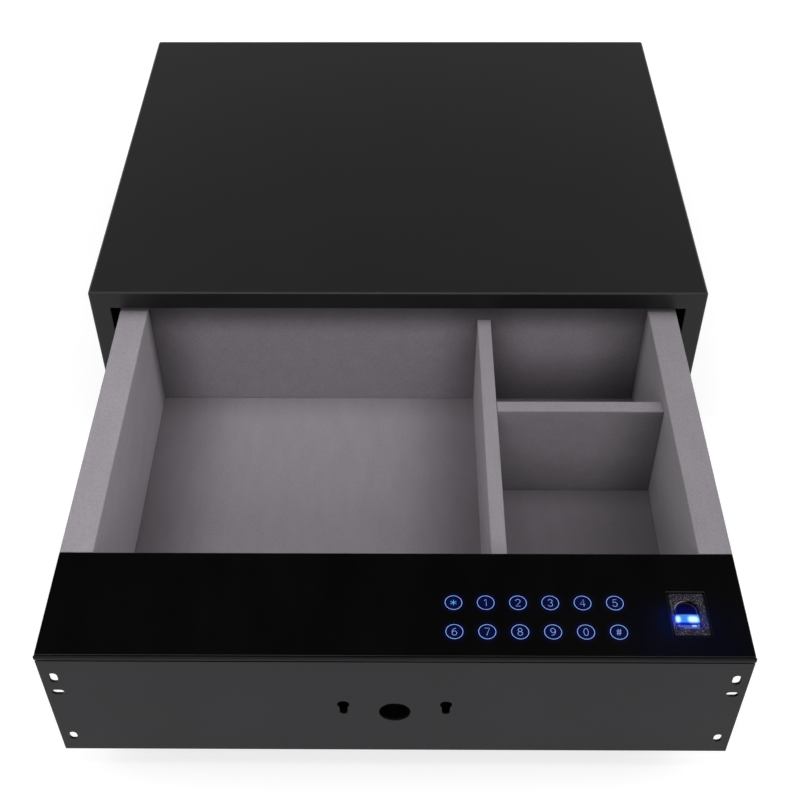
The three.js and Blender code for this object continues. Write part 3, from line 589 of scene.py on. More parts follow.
@dataclass(frozen=True)
class GlowMark(Finish):
    """Lit print under the glass."""

    colour: Colour
    strength: float
    grain: float = 0.6
    cover: Point = (0.8, 1.15)

    def make(self) -> bpy.types.Material:
        """Makes the lit print.

        Returns:
            The material.
        """
        values = {"Base Color": (0, 0, 0, 1), "Roughness": 0.1, "Emission Strength": self.strength}
        graph = SurfaceGraph(self.name, values)
        graph.lit([graph.scaled(self.colour, graph.spread(graph.noise(self.grain), *self.cover))])
        return graph.material


@dataclass(frozen=True)
class CircuitBoard(Finish):
    """Solder mask with tracks under it."""

    colour: Colour

    def make(self) -> bpy.types.Material:
        """Makes the board.

        Returns:
            The material.
        """
        graph = SurfaceGraph(self.name, {"Roughness": 0.4})
        inputs = {"Vector": graph.place, "Scale": 260.0, "Mortar Size": 0.06, "Color1": (1, 1, 1, 1),
                  "Color2": (0.9, 0.9, 0.9, 1), "Mortar": (1.6, 1.6, 1.6, 1)}
        tracks = graph.add("ShaderNodeTexBrick", inputs).outputs["Color"]
        graph.tinted(self.colour, tracks)
        return graph.material


class Stock:
    """Finishes that the safe is made with."""

    case = PowderCoat("satin_black_coat", (0.0055, 0.0057, 0.0064), 0.44)
    plate = PowderCoat("charcoal_coat", (0.021, 0.0195, 0.022), 0.6, 0.6, 0.16, level=0.2)
    cover = PowderCoat("cover_coat", (0.002, 0.002, 0.0026), 0.3, level=0.1)
    zinc = PlatedMetal("zinc_plate", (0.56, 0.57, 0.58), 0.34)
    bolt = PlatedMetal("turned_steel", (0.42, 0.42, 0.43), 0.3, lines=(0.03, 1, 1))
    ball = PlatedMetal("ball_steel", (0.6, 0.6, 0.61), 0.16)
    rivet = PlatedMetal("rivet_steel", (0.5, 0.51, 0.52), 0.26)
    blackened = PlatedMetal("blackened_steel", (0.02, 0.02, 0.022), 0.4)
    brass = PlatedMetal("cut_brass", (0.55, 0.38, 0.12), 0.32)
    glass = PanelGlass("printed_glass", (0.0022, 0.0022, 0.0024), (
        KeyGlow((32.8, -444.5), (18.0, 19.5), (6, 2), 4.7, 8.2, (0.0, 0.0014, 0.025), (0.0, 0.0008, 0.017)),
        LampSpot((159.0, -437.0), (5.0, 2.0), 16.0, (0.0, 0.0008, 0.018)),
        LampSpot((160.0, -447.0), (12.0, 6.0), 32.0, (0.0, 0.0004, 0.004)),
    ))
    pile = linear(144, 138, 145)
    plush = Plush("grey_plush", pile)
    # Lit and shaded copies of the one pile: the left, right, back, main and cross boards each get a tone a
    # little lighter or darker than the pile, painted to show how much light falls on them.
    left_plush = Plush("left_plush", linear(149, 143, 150), (PaintedShade(1, -168.7, -1, 20, 0.6),))
    right_plush = Plush("right_plush", linear(135, 130, 136), (PaintedShade(1, -168.7, -1, 20, 0.6),))
    main_plush = Plush("main_plush", linear(138, 132, 139))
    floor_plush = Plush("floor_plush", pile, (
        PaintedShade(0, -175.2, 1, 66, 0.47),
        PaintedShade(0, 56.3, -1, 62, 0.42),
        PaintedShade(0, 175.2, -1, 105, 0.42),
        PaintedShade(0, 65.9, 1, 400, 0.3),
    ))
    back_plush = Plush("back_plush", linear(140, 134, 141), (
        PaintedShade(0, -175.2, 1, 42, 0.5),
        PaintedShade(0, 61.1, -1, 40, 0.4),
        PaintedShade(0, 61.15, 1, 36, 0.4),
        PaintedShade(0, 175.2, -1, 50, 0.48),
        PaintedShade(2, 113.1, -1, 26, 0.66),
    ))
    cross_plush = Plush("cross_plush", linear(133, 128, 134), (PaintedShade(0, 175.2, -1, 44, 0.5, 102.0),))
    plastic = MouldedPlastic("grained_plastic", (0.011, 0.011, 0.012))
    rubber = MouldedPlastic("buffer_rubber", (0.008, 0.008, 0.008), 0.8, 0.8)
    wrap = MouldedPlastic("cell_sleeve", (0.05, 0.07, 0.1), 0.35, 3)
    cable = MouldedPlastic("ribbon_skin", (0.27, 0.29, 0.31), 0.5, 1)
    circuit = CircuitBoard("solder_mask", (0.012, 0.07, 0.025))
    ring_light = GlowMark("ring_light", linear(150, 182, 246), 1.15)
    symbol_light = GlowMark("symbol_light", linear(142, 172, 238), 1.0)
    star_light = GlowMark("star_light", linear(84, 178, 255), 1.2)
    bezel = Speckled(
        "flecked_bezel", (0.003, 0.003, 0.004), (0.17, 0.155, 0.2), (162.9, -432.5), (9.3, 13.5), (
            LampSpot((161.6, -436.6), (5.5, 1.5), 9.0, (0.0, 0.006, 0.11)),
            LampSpot((156.8, -435.8), (0.3, 0.8), 5.0, (0.01, 0.05, 0.7)),
        ))
    lens = ReaderLens("reader_lens_glass", (
        LampSpot((162.2, -434.6), (6.0, 4.5), 6.0, (0.0006, 0.0014, 0.06)),
        LampSpot((162.1, -434.6), (5.7, 1.9), 1.3, (0.06, 0.27, 0.8)),
        LampSpot((156.6, -435.0), (0.0, 0.6), 2.6, (0.6, 0.85, 0.8)),
        LampSpot((165.0, -435.2), (1.1, 0.2), 3.2, (0.7, 0.9, 0.8)),
        LampSpot((162.0, -438.4), (5.0, 0.5), 2.6, (0.0, 0.024, 0.36)),
        # painted highlights, no lamps: a short streak, a thin line along the lens's lower lip and a glint on
        # its arch
        LampSpot((165.0, -439.5), (0.8, 0.05), 0.9, (0.25, 0.6, 0.8)),
        LampSpot((163.6, -440.75), (4.2, 0.02), 0.45, (0.12, 0.14, 0.3)),
        PaintedGlintArc((162.15, -429.35), 6.55, 0.45, LampSpot((157.8, -424.4), (1.8, 1.2), 4.4, (0.3, 0.27, 0.4))),
    ))


def linked(name: str, mesh: bpy.types.Mesh) -> bpy.types.Object:
    """New object in the scene for a mesh.

    Args:
        name: Name of the object.
        mesh: Its mesh or curve.

    Returns:
        The object.
    """
    piece = bpy.data.objects.new(name, mesh)
    bpy.context.scene.collection.objects.link(piece)
    return piece


def meshed(name: str, bm: bmesh.types.BMesh) -> bpy.types.Object:
    """New object in the scene for a finished bmesh, which is freed.

    Args:
        name: Name of the object.
        bm: The bmesh.

    Returns:
        The object.
    """
    mesh = bpy.data.meshes.new(name)
    bm.to_mesh(mesh)
    bm.free()
    return linked(name, mesh)


def smoothed(piece: bpy.types.Object) -> bpy.types.Object:
    """The piece with smooth shading.

    Args:
        piece: A mesh object.

    Returns:
        The same object.
    """
    for polygon in piece.data.polygons:
        polygon.use_smooth = True
    return piece


def evaluated(carrier: bpy.types.Object) -> bpy.types.Mesh:
    """New mesh of an object as its modifiers or its curve make it.

    Args:
        carrier: The object.

    Returns:
        The mesh.
    """
    bpy.context.view_layer.update()
    graph = bpy.context.evaluated_depsgraph_get()
    return bpy.data.meshes.new_from_object(carrier.evaluated_get(graph))


def plain(carrier: bpy.types.Object) -> bpy.types.Object:
    """The object with its modifiers' result as its own mesh, and no modifiers left.

    Args:
        carrier: Object with modifiers.

    Returns:
        The same object.
    """
    mesh = evaluated(carrier)
    carrier.modifiers.clear()
    carrier.data = mesh
    return carrier


def merged_copy(node: str, name: str) -> bpy.types.Object:
    """Copy of a CAD node with shared corners and its flat faces in one piece.

    Args:
        node: CAD node.
        name: Name of the new piece.

    Returns:
        The new piece.
    """
    bm = bmesh.new()
    bm.from_mesh(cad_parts[node].data)
    bmesh.ops.remove_doubles(bm, verts=bm.verts, dist=SAME_CORNER)
    bmesh.ops.dissolve_limit(bm, angle_limit=math.radians(FLAT_BELOW), verts=bm.verts, edges=bm.edges)
    bmesh.ops.recalc_face_normals(bm, faces=bm.faces)
    return meshed(name, bm)


def softened(node: str, name: str, radius: float, segments: int = 2) -> bpy.types.Object:
    """Copy of a CAD node with its sharp edges rounded.

    Args:
        node: CAD node.
        name: Name of the new piece.
        radius: Radius of the edges in millimetres.
        segments: Faces across an edge's curve.

    Returns:
        The rounded piece.
    """
    piece = smoothed(merged_copy(node, name))
    bevel = piece.modifiers.new("rounded edges", "BEVEL")
    bevel.width = radius * MM
    bevel.segments = segments
    bevel.limit_method = "ANGLE"
    bevel.angle_limit = math.radians(SHARP_ABOVE)
    bevel.face_strength_mode = "FSTR_AFFECTED"
    flat = piece.modifiers.new("flat faces", "WEIGHTED_NORMAL")
    flat.use_face_influence = True
    return plain(piece)


def finished(piece: bpy.types.Object, body: Body, finish: Finish | None = None,
             nodes: Iterable[str] = ()) -> bpy.types.Object:
    """Gives a piece its finish, slot, body and the CAD nodes that it stands for.

    Args:
        piece: The piece.
        body: Body that it rides on.
        finish: Its finish, or nothing where its mesh has one.
        nodes: CAD nodes that it replaces.

    Returns:
        The same piece.
    """
    if finish:
        piece.data.materials.clear()
        piece.data.materials.append(finish.material())
    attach(piece, body.value)
    if nodes:
        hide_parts(*nodes)
    log.info("%s: %d faces on %s", piece.name, len(piece.data.polygons), body.value)
    return piece


def dressed(finish: Finish, *nodes: str) -> None:
    """Gives CAD nodes that stay as they are their finish.

    Args:
        finish: The finish.
        *nodes: The CAD nodes.
    """
    for node in nodes:
        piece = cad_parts[node]
        piece.data.materials.clear()
        piece.data.materials.append(finish.material())
        log.info("%s: kept, in %s", node, finish.name)


class SubAssembly(ABC):
    """A group of pieces that is built together."""

    @abstractmethod
    def build(self) -> None:
        """Builds and dresses the pieces."""


@dataclass
class CaseBody(SubAssembly):
    """Folded steel case with its base, back and fixings."""

    bend: float = 0.5

    def build(self) -> None:
        """Builds the case."""
        sheets = (("case_shell", "folded_shell"), ("case_base", "base_plate"), ("case_back", "back_plate"))
        for node, name in sheets:
            piece = softened(node, name, self.bend)
            finished(piece, Body.CASE, Stock.case, [node])
        dressed(Stock.rubber, "rear_buffer_left", "rear_buffer_right")


@dataclass
class DrawerTray(SubAssembly):
    """Folded steel tray with its front and back walls."""

    edge: float = 0.35

    def build(self) -> None:
        """Builds the tray."""
        walls = (("drawer_pan", "tray_pan"), ("drawer_front_wall", "tray_front_wall"),
                 ("drawer_back_wall", "tray_back_wall"))
        for node, name in walls:
            piece = softened(node, name, self.edge)
            finished(piece, Body.DRAWER, Stock.case, [node])


def rounded_loop(corners: Sequence[Point], radii: Sequence[float], steps: int) -> list[Point]:
    """Outline with rounded corners.

    Args:
        corners: Corners, anticlockwise.
        radii: Radius at each corner.
        steps: Points along each corner's curve.

    Returns:
        Points of the outline.
    """
    loop = []
    count = len(corners)
    for i, corner in enumerate(corners):
        here = Vector(corner)
        before = (Vector(corners[i - 1]) - here).normalized()
        after = (Vector(corners[(i + 1) % count]) - here).normalized()
        half = before.angle(after) / 2
        reach = radii[i] / math.tan(half)
        start, end = here + before * reach, here + after * reach
        centre = here + (before + after).normalized() * (radii[i] / math.sin(half))
        a0 = math.atan2(start.y - centre.y, start.x - centre.x)
        a1 = math.atan2(end.y - centre.y, end.x - centre.x)
        turn = (a1 - a0 + math.pi) % (2 * math.pi) - math.pi
        for step in range(steps + 1):
            angle = a0 + turn * step / steps
            loop.append((centre.x + radii[i] * math.cos(angle), centre.y + radii[i] * math.sin(angle)))
    return loop


def even_loop(loop: Sequence[Point], count: int) -> list[Point]:
    """The outline with evenly spaced points.

    Args:
        loop: Points of the outline.
        count: Number of points.

    Returns:
        The points, from the one nearest to straight ahead of the outline's middle.
    """
    points = [Vector(p) for p in loop]
    lengths = [(points[(i + 1) % len(points)] - p).length for i, p in enumerate(points)]
    total = sum(lengths)
    made = []
    i, passed = 0, 0.0
    for step in range(count):
        goal = total * step / count
        while passed + lengths[i] < goal:
            passed += lengths[i]
            i += 1
        share = (goal - passed) / lengths[i]
        made.append(points[i].lerp(points[(i + 1) % len(points)], share))
    middle = sum((p.x for p in made)) / count
    first = max(range(count), key=lambda k: made[k].y - abs(made[k].x - middle) * MIDDLE_PULL)
    return [(p.x, p.y) for p in made[first:] + made[:first]]


def lofted(name: str, loops: Sequence[Sequence[Vector]], ring: bool) -> bpy.types.Object:
    """Closed body through loops of equal length.

    Args:
        name: Name of the piece.
        loops: Loops of points in metres.
        ring: Whether the last loop joins the first, or both ends are closed.

    Returns:
        The body.
    """
    bm = bmesh.new()
    rows = [[bm.verts.new(p) for p in loop] for loop in loops]
    pairs = list(zip(rows, rows[1:])) + ([(rows[-1], rows[0])] if ring else [])
    for low, high in pairs:
        for i in range(len(low)):
            j = (i + 1) % len(low)
            bm.faces.new((low[i], low[j], high[j], high[i]))
    if not ring:
        ends = [bm.faces.new(list(reversed(rows[0]))), bm.faces.new(rows[-1])]
        bmesh.ops.triangulate(bm, faces=ends, ngon_method="EAR_CLIP")
    bmesh.ops.recalc_face_normals(bm, faces=bm.faces)
    return smoothed(meshed(name, bm))


class Run(Enum):
    """Axis that a board's profile runs along."""

    SIDEWAYS = 0
    LENGTHWAYS = 1


@dataclass
class PlushBoard:
    """Board under plush: a profile with soft corners that runs from one end to the other."""

    node: str
    run: Run
    corners: Sequence[Point]
    radii: Sequence[float]
    span: Point
    step: float = 3.0
    end_edge: float = 0.5
    curve_steps: int = 4
    slack: float = 0.01

    def spaced(self, loop: Sequence[Point]) -> list[Vector]:
        """The profile with a point at least every step.

        Args:
            loop: Points of the profile in millimetres.

        Returns:
            The points.
        """
        made = []
        for i, point in enumerate(loop):
            here, after = Vector(point), Vector(loop[(i + 1) % len(loop)])
            parts = max(1, math.ceil((after - here).length / self.step - self.slack))
            made += [here.lerp(after, k / parts) for k in range(parts)]
        return made

    def shrunk(self, loop: Sequence[Vector], inset: float) -> list[Vector]:
        """The profile drawn in by an inset, square to its edges.

        Args:
            loop: Points of the profile.
            inset: Depth in millimetres.

        Returns:
            The points.
        """
        made = []
        for i, here in enumerate(loop):
            along = loop[(i + 1) % len(loop)] - loop[i - 1]
            made.append(here + Vector((-along.y, along.x)).normalized() * inset)
        return made

    def stations(self) -> list[Point]:
        """Places along the run.

        Returns:
            Each place and the inset of the profile there, in millimetres.
        """
        low, high = self.span
        ends = []
        for k in range(self.curve_steps):
            turn = math.pi / 2 * k / self.curve_steps
            ends.append((self.end_edge * (1 - math.sin(turn)), self.end_edge * (1 - math.cos(turn))))
        first = [(low + inset_run, inset) for inset, inset_run in ends]
        last = [(high - inset_run, inset) for inset, inset_run in reversed(ends)]
        start, stop = low + self.end_edge, high - self.end_edge
        parts = math.ceil((stop - start) / self.step)
        middle = [(start + (stop - start) * k / parts, 0.0) for k in range(parts + 1)]
        return first + middle + last

    def place(self, point: Vector, along: float) -> Vector:
        """Point of the profile at a place of the run.

        Args:
            point: Point of the profile in millimetres.
            along: Place in millimetres.

        Returns:
            The point in metres.
        """
        across, up = point
        if self.run is Run.LENGTHWAYS:
            return Vector((across, along, up)) * MM
        return Vector((along, across, up)) * MM

    def build(self, name: str) -> bpy.types.Object:
        """Builds the board.

        Args:
            name: Name of the piece.

        Returns:
            The board.
        """
        loop = self.spaced(rounded_loop(self.corners, self.radii, self.curve_steps))
        loops = [[self.place(p, along) for p in self.shrunk(loop, inset)] for along, inset in self.stations()]
        return lofted(name, loops, False)


@dataclass
class PlushLining(SubAssembly):
    """Plush-covered boards round the tray's room and the dividers that stand in it."""

    board: float = 2.5
    strip: float = 3.1
    gap: float = 0.06
    cad_gap: float = 0.3
    free_edge: float = 0.7
    outer_edge: float = 1.1
    hidden_edge: float = 0.25
    pile: float = 0.16
    pile_grain: float = 4.0
    finishes: dict[str, Finish] = field(default_factory=lambda: {
        "lining_floor": Stock.floor_plush, "lining_back": Stock.back_plush,
        "lining_left": Stock.left_plush, "lining_right": Stock.right_plush,
        "divider_main": Stock.main_plush, "divider_cross": Stock.cross_plush})

    def box(self, node: str) -> tuple[Vector, Vector]:
        """Corners of a board's CAD node, in millimetres."""
        low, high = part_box(node)
        return low / MM, high / MM

    def folded(self, face: float, rim: float, foot: float, top: float) -> list[Point]:
        """Profile of an upright board that folds over, away from its face, at its top.

        Args:
            face: Place of its face in millimetres.
            rim: Place that the fold reaches to.
            foot: Height of its foot.
            top: Height of its top.

        Returns:
            The corners.
        """
        back, under = face + self.board, top - self.strip
        return [(face, foot), (back, foot), (back, under), (rim, under), (rim, top), (face, top)]

    def side(self, node: str) -> PlushBoard:
        """Board along one side, folded over the tray's flange.

        Args:
            node: Its CAD node.

        Returns:
            The board.
        """
        low, high = self.box(node)
        if low.x < 0:
            corners = [(low.x, high.z - self.strip), (high.x - self.board, high.z - self.strip),
                       (high.x - self.board, low.z), (high.x, low.z), (high.x, high.z), (low.x, high.z)]
            radii = [self.hidden_edge] * 4 + [self.free_edge, self.outer_edge]
        else:
            corners = self.folded(low.x, high.x, low.z, high.z)
            radii = [self.hidden_edge] * 4 + [self.outer_edge, self.free_edge]
        return PlushBoard(node, Run.LENGTHWAYS, corners, radii, (low.y, high.y))

    def back(self, node: str) -> PlushBoard:
        """Board at the back, folded over the tray's back flange.

        Args:
            node: Its CAD node.

        Returns:
            The board.
        """
        low, high = self.box(node)
        corners = self.folded(low.y, high.y, low.z, high.z)
        radii = [self.hidden_edge] * 5 + [self.free_edge]
        span = (low.x - self.cad_gap + self.gap, high.x + self.cad_gap - self.gap)
        return PlushBoard(node, Run.SIDEWAYS, corners, radii, span)

    def plain_board(self, node: str, run: Run, top_edge: float, grow: Sequence[float]) -> PlushBoard:
        """Flat board with four straight sides.

        Args:
            node: CAD node of the board.
            run: Axis that its profile runs along.
            top_edge: Radius of its upper edges in millimetres.
            grow: Share of the CAD gap that it closes at its low end, high end, foot and sides.

        Returns:
            The board.
        """
        low, high = self.box(node)
        reach = self.cad_gap - self.gap
        across = 1 if run is Run.SIDEWAYS else 0
        along = 1 - across
        foot = low.z - reach * grow[2]
        left, right = low[across] - reach * grow[3], high[across] + reach * grow[3]
        corners = [(left, foot), (right, foot), (right, high.z), (left, high.z)]
        radii = [self.hidden_edge] * 2 + [top_edge] * 2
        span = (low[along] - reach * grow[0], high[along] + reach * grow[1])
        return PlushBoard(node, run, corners, radii, span)

    def boards(self) -> list[PlushBoard]:
        """All boards of the lining.

        Returns:
            The boards.
        """
        return [
            self.side("lining_left"),
            self.side("lining_right"),
            self.back("lining_back"),
            self.plain_board("lining_front", Run.SIDEWAYS, self.free_edge, (0, 0, 0, 0)),
            self.plain_board("lining_floor", Run.LENGTHWAYS, self.hidden_edge, (1, 1, 0, 1)),
            self.plain_board("divider_main", Run.LENGTHWAYS, self.free_edge, (1, 1, 1, 0)),
            self.plain_board("divider_cross", Run.SIDEWAYS, self.free_edge, (1, 1, 1, 0)),
        ]

    def napped(self, piece: bpy.types.Object) -> bpy.types.Object:
        """Ruffles a board's surface inwards, as the pile lies.

        Args:
            piece: The board.

        Returns:
            The same board.
        """
        nap = bpy.data.textures.new("pile", "CLOUDS")
        nap.noise_scale = self.pile_grain * MM
        nap.noise_depth = 2
        ruffle = piece.modifiers.new("ruffle", "DISPLACE")
        ruffle.texture = nap
        ruffle.texture_coords = "LOCAL"
        ruffle.mid_level = 1.0
        ruffle.strength = self.pile * MM
        return plain(piece)

    def build(self) -> None:
        """Covers the boards."""
        for board in self.boards():
            name = "plush_" + board.node
            piece = self.napped(board.build(name))
            finish = self.finishes.get(board.node, Stock.plush)
            finished(piece, Body.DRAWER, finish, [board.node])


@dataclass
class FrontBox(SubAssembly):
    """Front plate, housing, folded top cover and glass panel."""

    plate_edge: float = 0.3
    cover_edge: float = 0.45
    glass_edge: float = 0.2
    edge_facing: float = 0.3

    def shade_edges_black(self, plate: bpy.types.Object) -> None:
        """Gives the sheet's edges, round its outline and in its holes, the black coat as painted shade.

        Args:
            plate: The front plate.
        """
        # painted shade: faces that don't face front or back take the black coat
        plate.data.materials.append(Stock.case.material())
        for face in plate.data.polygons:
            face.material_index = int(abs(face.normal.y) < self.edge_facing)

    def build(self) -> None:
        """Builds the front box."""
        pieces = (
            ("front_plate", "face_plate", self.plate_edge, Slot.CHARCOAL_STEEL, Stock.plate),
            ("front_housing", "box_housing", self.plate_edge, Slot.SATIN_STEEL, Stock.case),
            ("top_cover", "folded_cover", self.cover_edge, Slot.SATIN_STEEL, Stock.cover),
            ("touch_glass", "glass_panel", self.glass_edge, Slot.BLACK_GLASS, Stock.glass),
        )
        for node, name, radius, slot, finish in pieces:
            piece = softened(node, name, radius)
            finished(piece, Body.DRAWER, finish, [node])
            if node == "front_plate":
                self.shade_edges_black(piece)
        dressed(Stock.plastic, "battery_holder", "battery_door")


class GeometryGraph(Graph):
    """Geometry Nodes tree with named inputs for its sizes."""

    def __init__(self, name: str, sizes: Sizes) -> None:
        """Makes the tree.

        Args:
            name: Name of the tree.
            sizes: Socket type and value of each input, by name.
        """
        super().__init__(bpy.data.node_groups.new(name, "GeometryNodeTree"))
        face = self.tree.interface
        face.new_socket(name="Geometry", in_out="OUTPUT", socket_type="NodeSocketGeometry")
        self.values = {}
        for label, (kind, value) in sizes.items():
            socket = face.new_socket(name=label, in_out="INPUT", socket_type=kind)
            self.values[socket.identifier] = value
        self.given = self.add("NodeGroupInput").outputs
        self.out = self.add("NodeGroupOutput")

    def node(self, kind: str, inputs: dict | None = None, **settings: object) -> Socket:
        """First output of a new node."""
        return self.add(kind, inputs, **settings).outputs[0]

    def gridded(self, shape: Socket, move: dict) -> Socket:
        """Shapes on the points of a grid that the tree's first four inputs size.

        Args:
            shape: Geometry of one shape.
            move: Where the grid goes, and its turn.

        Returns:
            The placed shapes.
        """
        sizes = dict(zip(("Vertices X", "Vertices Y", "Size X", "Size Y"), self.given))
        grid = self.node("GeometryNodeMeshGrid", sizes)
        placed = self.node("GeometryNodeInstanceOnPoints", {"Points": grid, "Instance": shape})
        return self.node("GeometryNodeTransform", {"Geometry": placed, **move})

    def end(self, geometry: Socket, finish: Finish) -> None:
        """Realizes the instances, sets the material and closes the tree.

        Args:
            geometry: What the tree has made.
            finish: Its finish.
        """
        real = self.node("GeometryNodeRealizeInstances", {0: geometry})
        made = self.node("GeometryNodeSetMaterial", {0: real, "Material": finish.material()})
        self.tree.links.new(made, self.out.inputs[0])

    def piece(self, name: str) -> bpy.types.Object:
        """Plain mesh piece that the tree makes.

        Args:
            name: Name of the piece.

        Returns:
            The piece.
        """
        carrier = linked(name, bpy.data.meshes.new(name))
        modifier = carrier.modifiers.new(self.tree.name, "NODES")
        modifier.node_group = self.tree
        for identifier, value in self.values.items():
            modifier[identifier] = value
        return plain(carrier)


@dataclass
class SlideRails(SubAssembly):
    """Ball-bearing slides with their cages, balls, rivets, brackets and screws."""

    edge: float = 0.3
    bracket_edge: float = 0.4
    ball_radius: float = 1.8
    ball_pitch: float = 26.0
    balls: int = 4
    outer_row: tuple[Point, Point] = ((185.4, 60.0), (0.0, 19.2))
    inner_row: tuple[Point, Point] = ((184.4, 60.0), (0.0, 13.8))
    rivet_radius: float = 3.0
    rivet_rise: float = 0.32
    rivet_pitch: float = 74.0
    rivets: int = 4
    web: float = 180.7

    def rows(self, name: str, shape: Callable[[GeometryGraph], Socket], sizes: Sizes,
             centre: Vector, finish: Finish) -> bpy.types.Object:
        """Shapes in rows along a slide.

        Args:
            name: Name of the piece.
            shape: Makes one shape in the tree.
            sizes: Sizes that the tree takes.
            centre: Middle of the rows.
            finish: Finish of the shapes.

        Returns:
            The piece.
        """
        graph = GeometryGraph(name, sizes)
        move = {"Translation": centre, "Rotation": (0, math.radians(90), 0)}
        graph.end(graph.gridded(shape(graph), move), finish)
        return graph.piece(name)

    def ball(self, graph: GeometryGraph, segments: int = 18) -> Socket:
        """One steel ball, in a given number of segments."""
        inputs = {"Segments": segments, "Rings": 10, "Radius": graph.given["Radius"]}
        return graph.node("GeometryNodeMeshUVSphere", inputs)

    def rivet(self, graph: GeometryGraph) -> Socket:
        """One low rivet head."""
        scale = (1, 1, self.rivet_rise)
        return graph.node("GeometryNodeTransform", {"Geometry": self.ball(graph, 20), "Scale": scale})

    def sizes(self, count: int, pitch: float, radius: float, half_width: float) -> Sizes:
        """Sizes of rows along a slide.

        Args:
            count: Shapes along each row.
            pitch: Step along a row in millimetres.
            radius: Radius of a shape in millimetres.
            half_width: Half the distance between two rows, or 0 for a single row.

        Returns:
            The tree's inputs.
        """
        return {
            "Rows": (WHOLE, 2 if half_width else 1),
            "Count": (WHOLE, count),
            "Row Width": (FLOAT, 2 * half_width * MM),
            "Length": (FLOAT, (count - 1) * pitch * MM),
            "Radius": (FLOAT, radius * MM),
        }

    def cage(self, place: str, hand: str, side: int) -> None:
        """Dresses one ball cage and seats its balls.

        Args:
            place: Which of the slide's two cages.
            hand: Which slide.
            side: Sign of x on that side.
        """
        node = f"ball_cage_{place}_{hand}"
        dressed(Stock.bolt, node)
        (x, z), (_, half_width) = self.outer_row if place == "outer" else self.inner_row
        low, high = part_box(node)
        centre = Vector((side * x * MM, (low.y + high.y) / 2, z * MM))
        sizes = self.sizes(self.balls, self.ball_pitch, self.ball_radius, half_width)
        balls = self.rows(f"balls_{place}_{hand}", self.ball, sizes, centre, Stock.ball)
        finished(balls, Body(node))

    def build(self) -> None:
        """Builds the slides."""
        for hand, side in (("left", -1), ("right", 1)):
            members = (("outer", Body.CASE), ("middle", Body(f"slide_middle_{hand}")), ("inner", Body.DRAWER))
            for name, body in members:
                node = f"slide_{name}_{hand}"
                piece = softened(node, f"rail_{name}_{hand}", self.edge)
                finished(piece, body, Stock.zinc, [node])
            node = f"slide_bracket_{hand}"
            bracket = softened(node, f"rail_bracket_{hand}", self.bracket_edge)
            finished(bracket, Body.CASE, Stock.zinc, [node])
            dressed(Stock.zinc, f"bracket_screw_front_{hand}", f"bracket_screw_rear_{hand}")
            self.cage("outer", hand, side)
            self.cage("inner", hand, side)
            low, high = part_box(f"slide_inner_{hand}")
            centre = Vector((side * self.web * MM, (low.y + high.y) / 2, (low.z + high.z) / 2))
            sizes = self.sizes(self.rivets, self.rivet_pitch, self.rivet_radius, 0.0)
            rivets = self.rows(f"rail_rivets_{hand}", self.rivet, sizes, centre, Stock.rivet)
            finished(rivets, Body.DRAWER)


def arc(centre: Point, radii: Point, start: float, end: float, steps: int = 12) -> list[Point]:
    """Points along part of an ellipse.

    Args:
        centre: Its middle.
        radii: Its half width and half height.
        start, end: Angles in degrees, from the right, anticlockwise.
        steps: Parts of the curve.

    Returns:
        The points.
    """
    angles = [math.radians(start + (end - start) * k / steps) for k in range(steps + 1)]
    return [(centre[0] + radii[0] * math.cos(a), centre[1] + radii[1] * math.sin(a)) for a in angles]


def turned(stroke: Sequence[Point]) -> list[Point]:
    """A stroke turned half round about the middle of its sign."""
    return [(2 * SIGN_MIDDLE[0] - u, 2 * SIGN_MIDDLE[1] - v) for u, v in stroke]


SIX = [
    arc((0.3, 0.3), (0.27, 0.3), 180, 540, 24),
    arc((0.5, 0.42), (0.47, 0.56), 180, 108, 8) + [(0.5, 0.95)],
]
STROKES = {
    "*": [arc(SIGN_MIDDLE, (0.4, 0.4), t + 180, t, 1) for t in (30, 90, 150)],
    "1": [[(0.14, 0.8), (0.36, 1.0), (0.36, 0.0)]],
    "2": [arc((0.3, 0.73), (0.27, 0.27), 170, -30, 12) + [(0.03, 0.0), (0.58, 0.0)]],
    "3": [arc((0.29, 0.76), (0.25, 0.24), 160, -90, 12) + arc((0.29, 0.26), (0.28, 0.26), 90, -160, 12)],
    "4": [[(0.44, 0.0), (0.44, 1.0), (0.0, 0.3), (0.6, 0.3)]],
    "5": [[(0.52, 1.0), (0.13, 1.0), (0.08, 0.55)] + arc((0.29, 0.32), (0.28, 0.32), 125, -155, 14)],
    "6": SIX,
    "7": [[(0.02, 1.0), (0.58, 1.0), (0.22, 0.0)]],
    "8": [arc((0.3, 0.76), (0.23, 0.24), -90, 270, 20), arc((0.3, 0.26), (0.28, 0.26), 90, 450, 20)],
    "9": [turned(stroke) for stroke in SIX],
    "0": [arc((0.3, 0.5), (0.26, 0.5), 90, 450, 24)],
    "#": [[(0.12, 0.06), (0.26, 0.94)], [(0.36, 0.06), (0.5, 0.94)],
          [(0.02, 0.66), (0.6, 0.66)], [(0.0, 0.34), (0.58, 0.34)]],
}


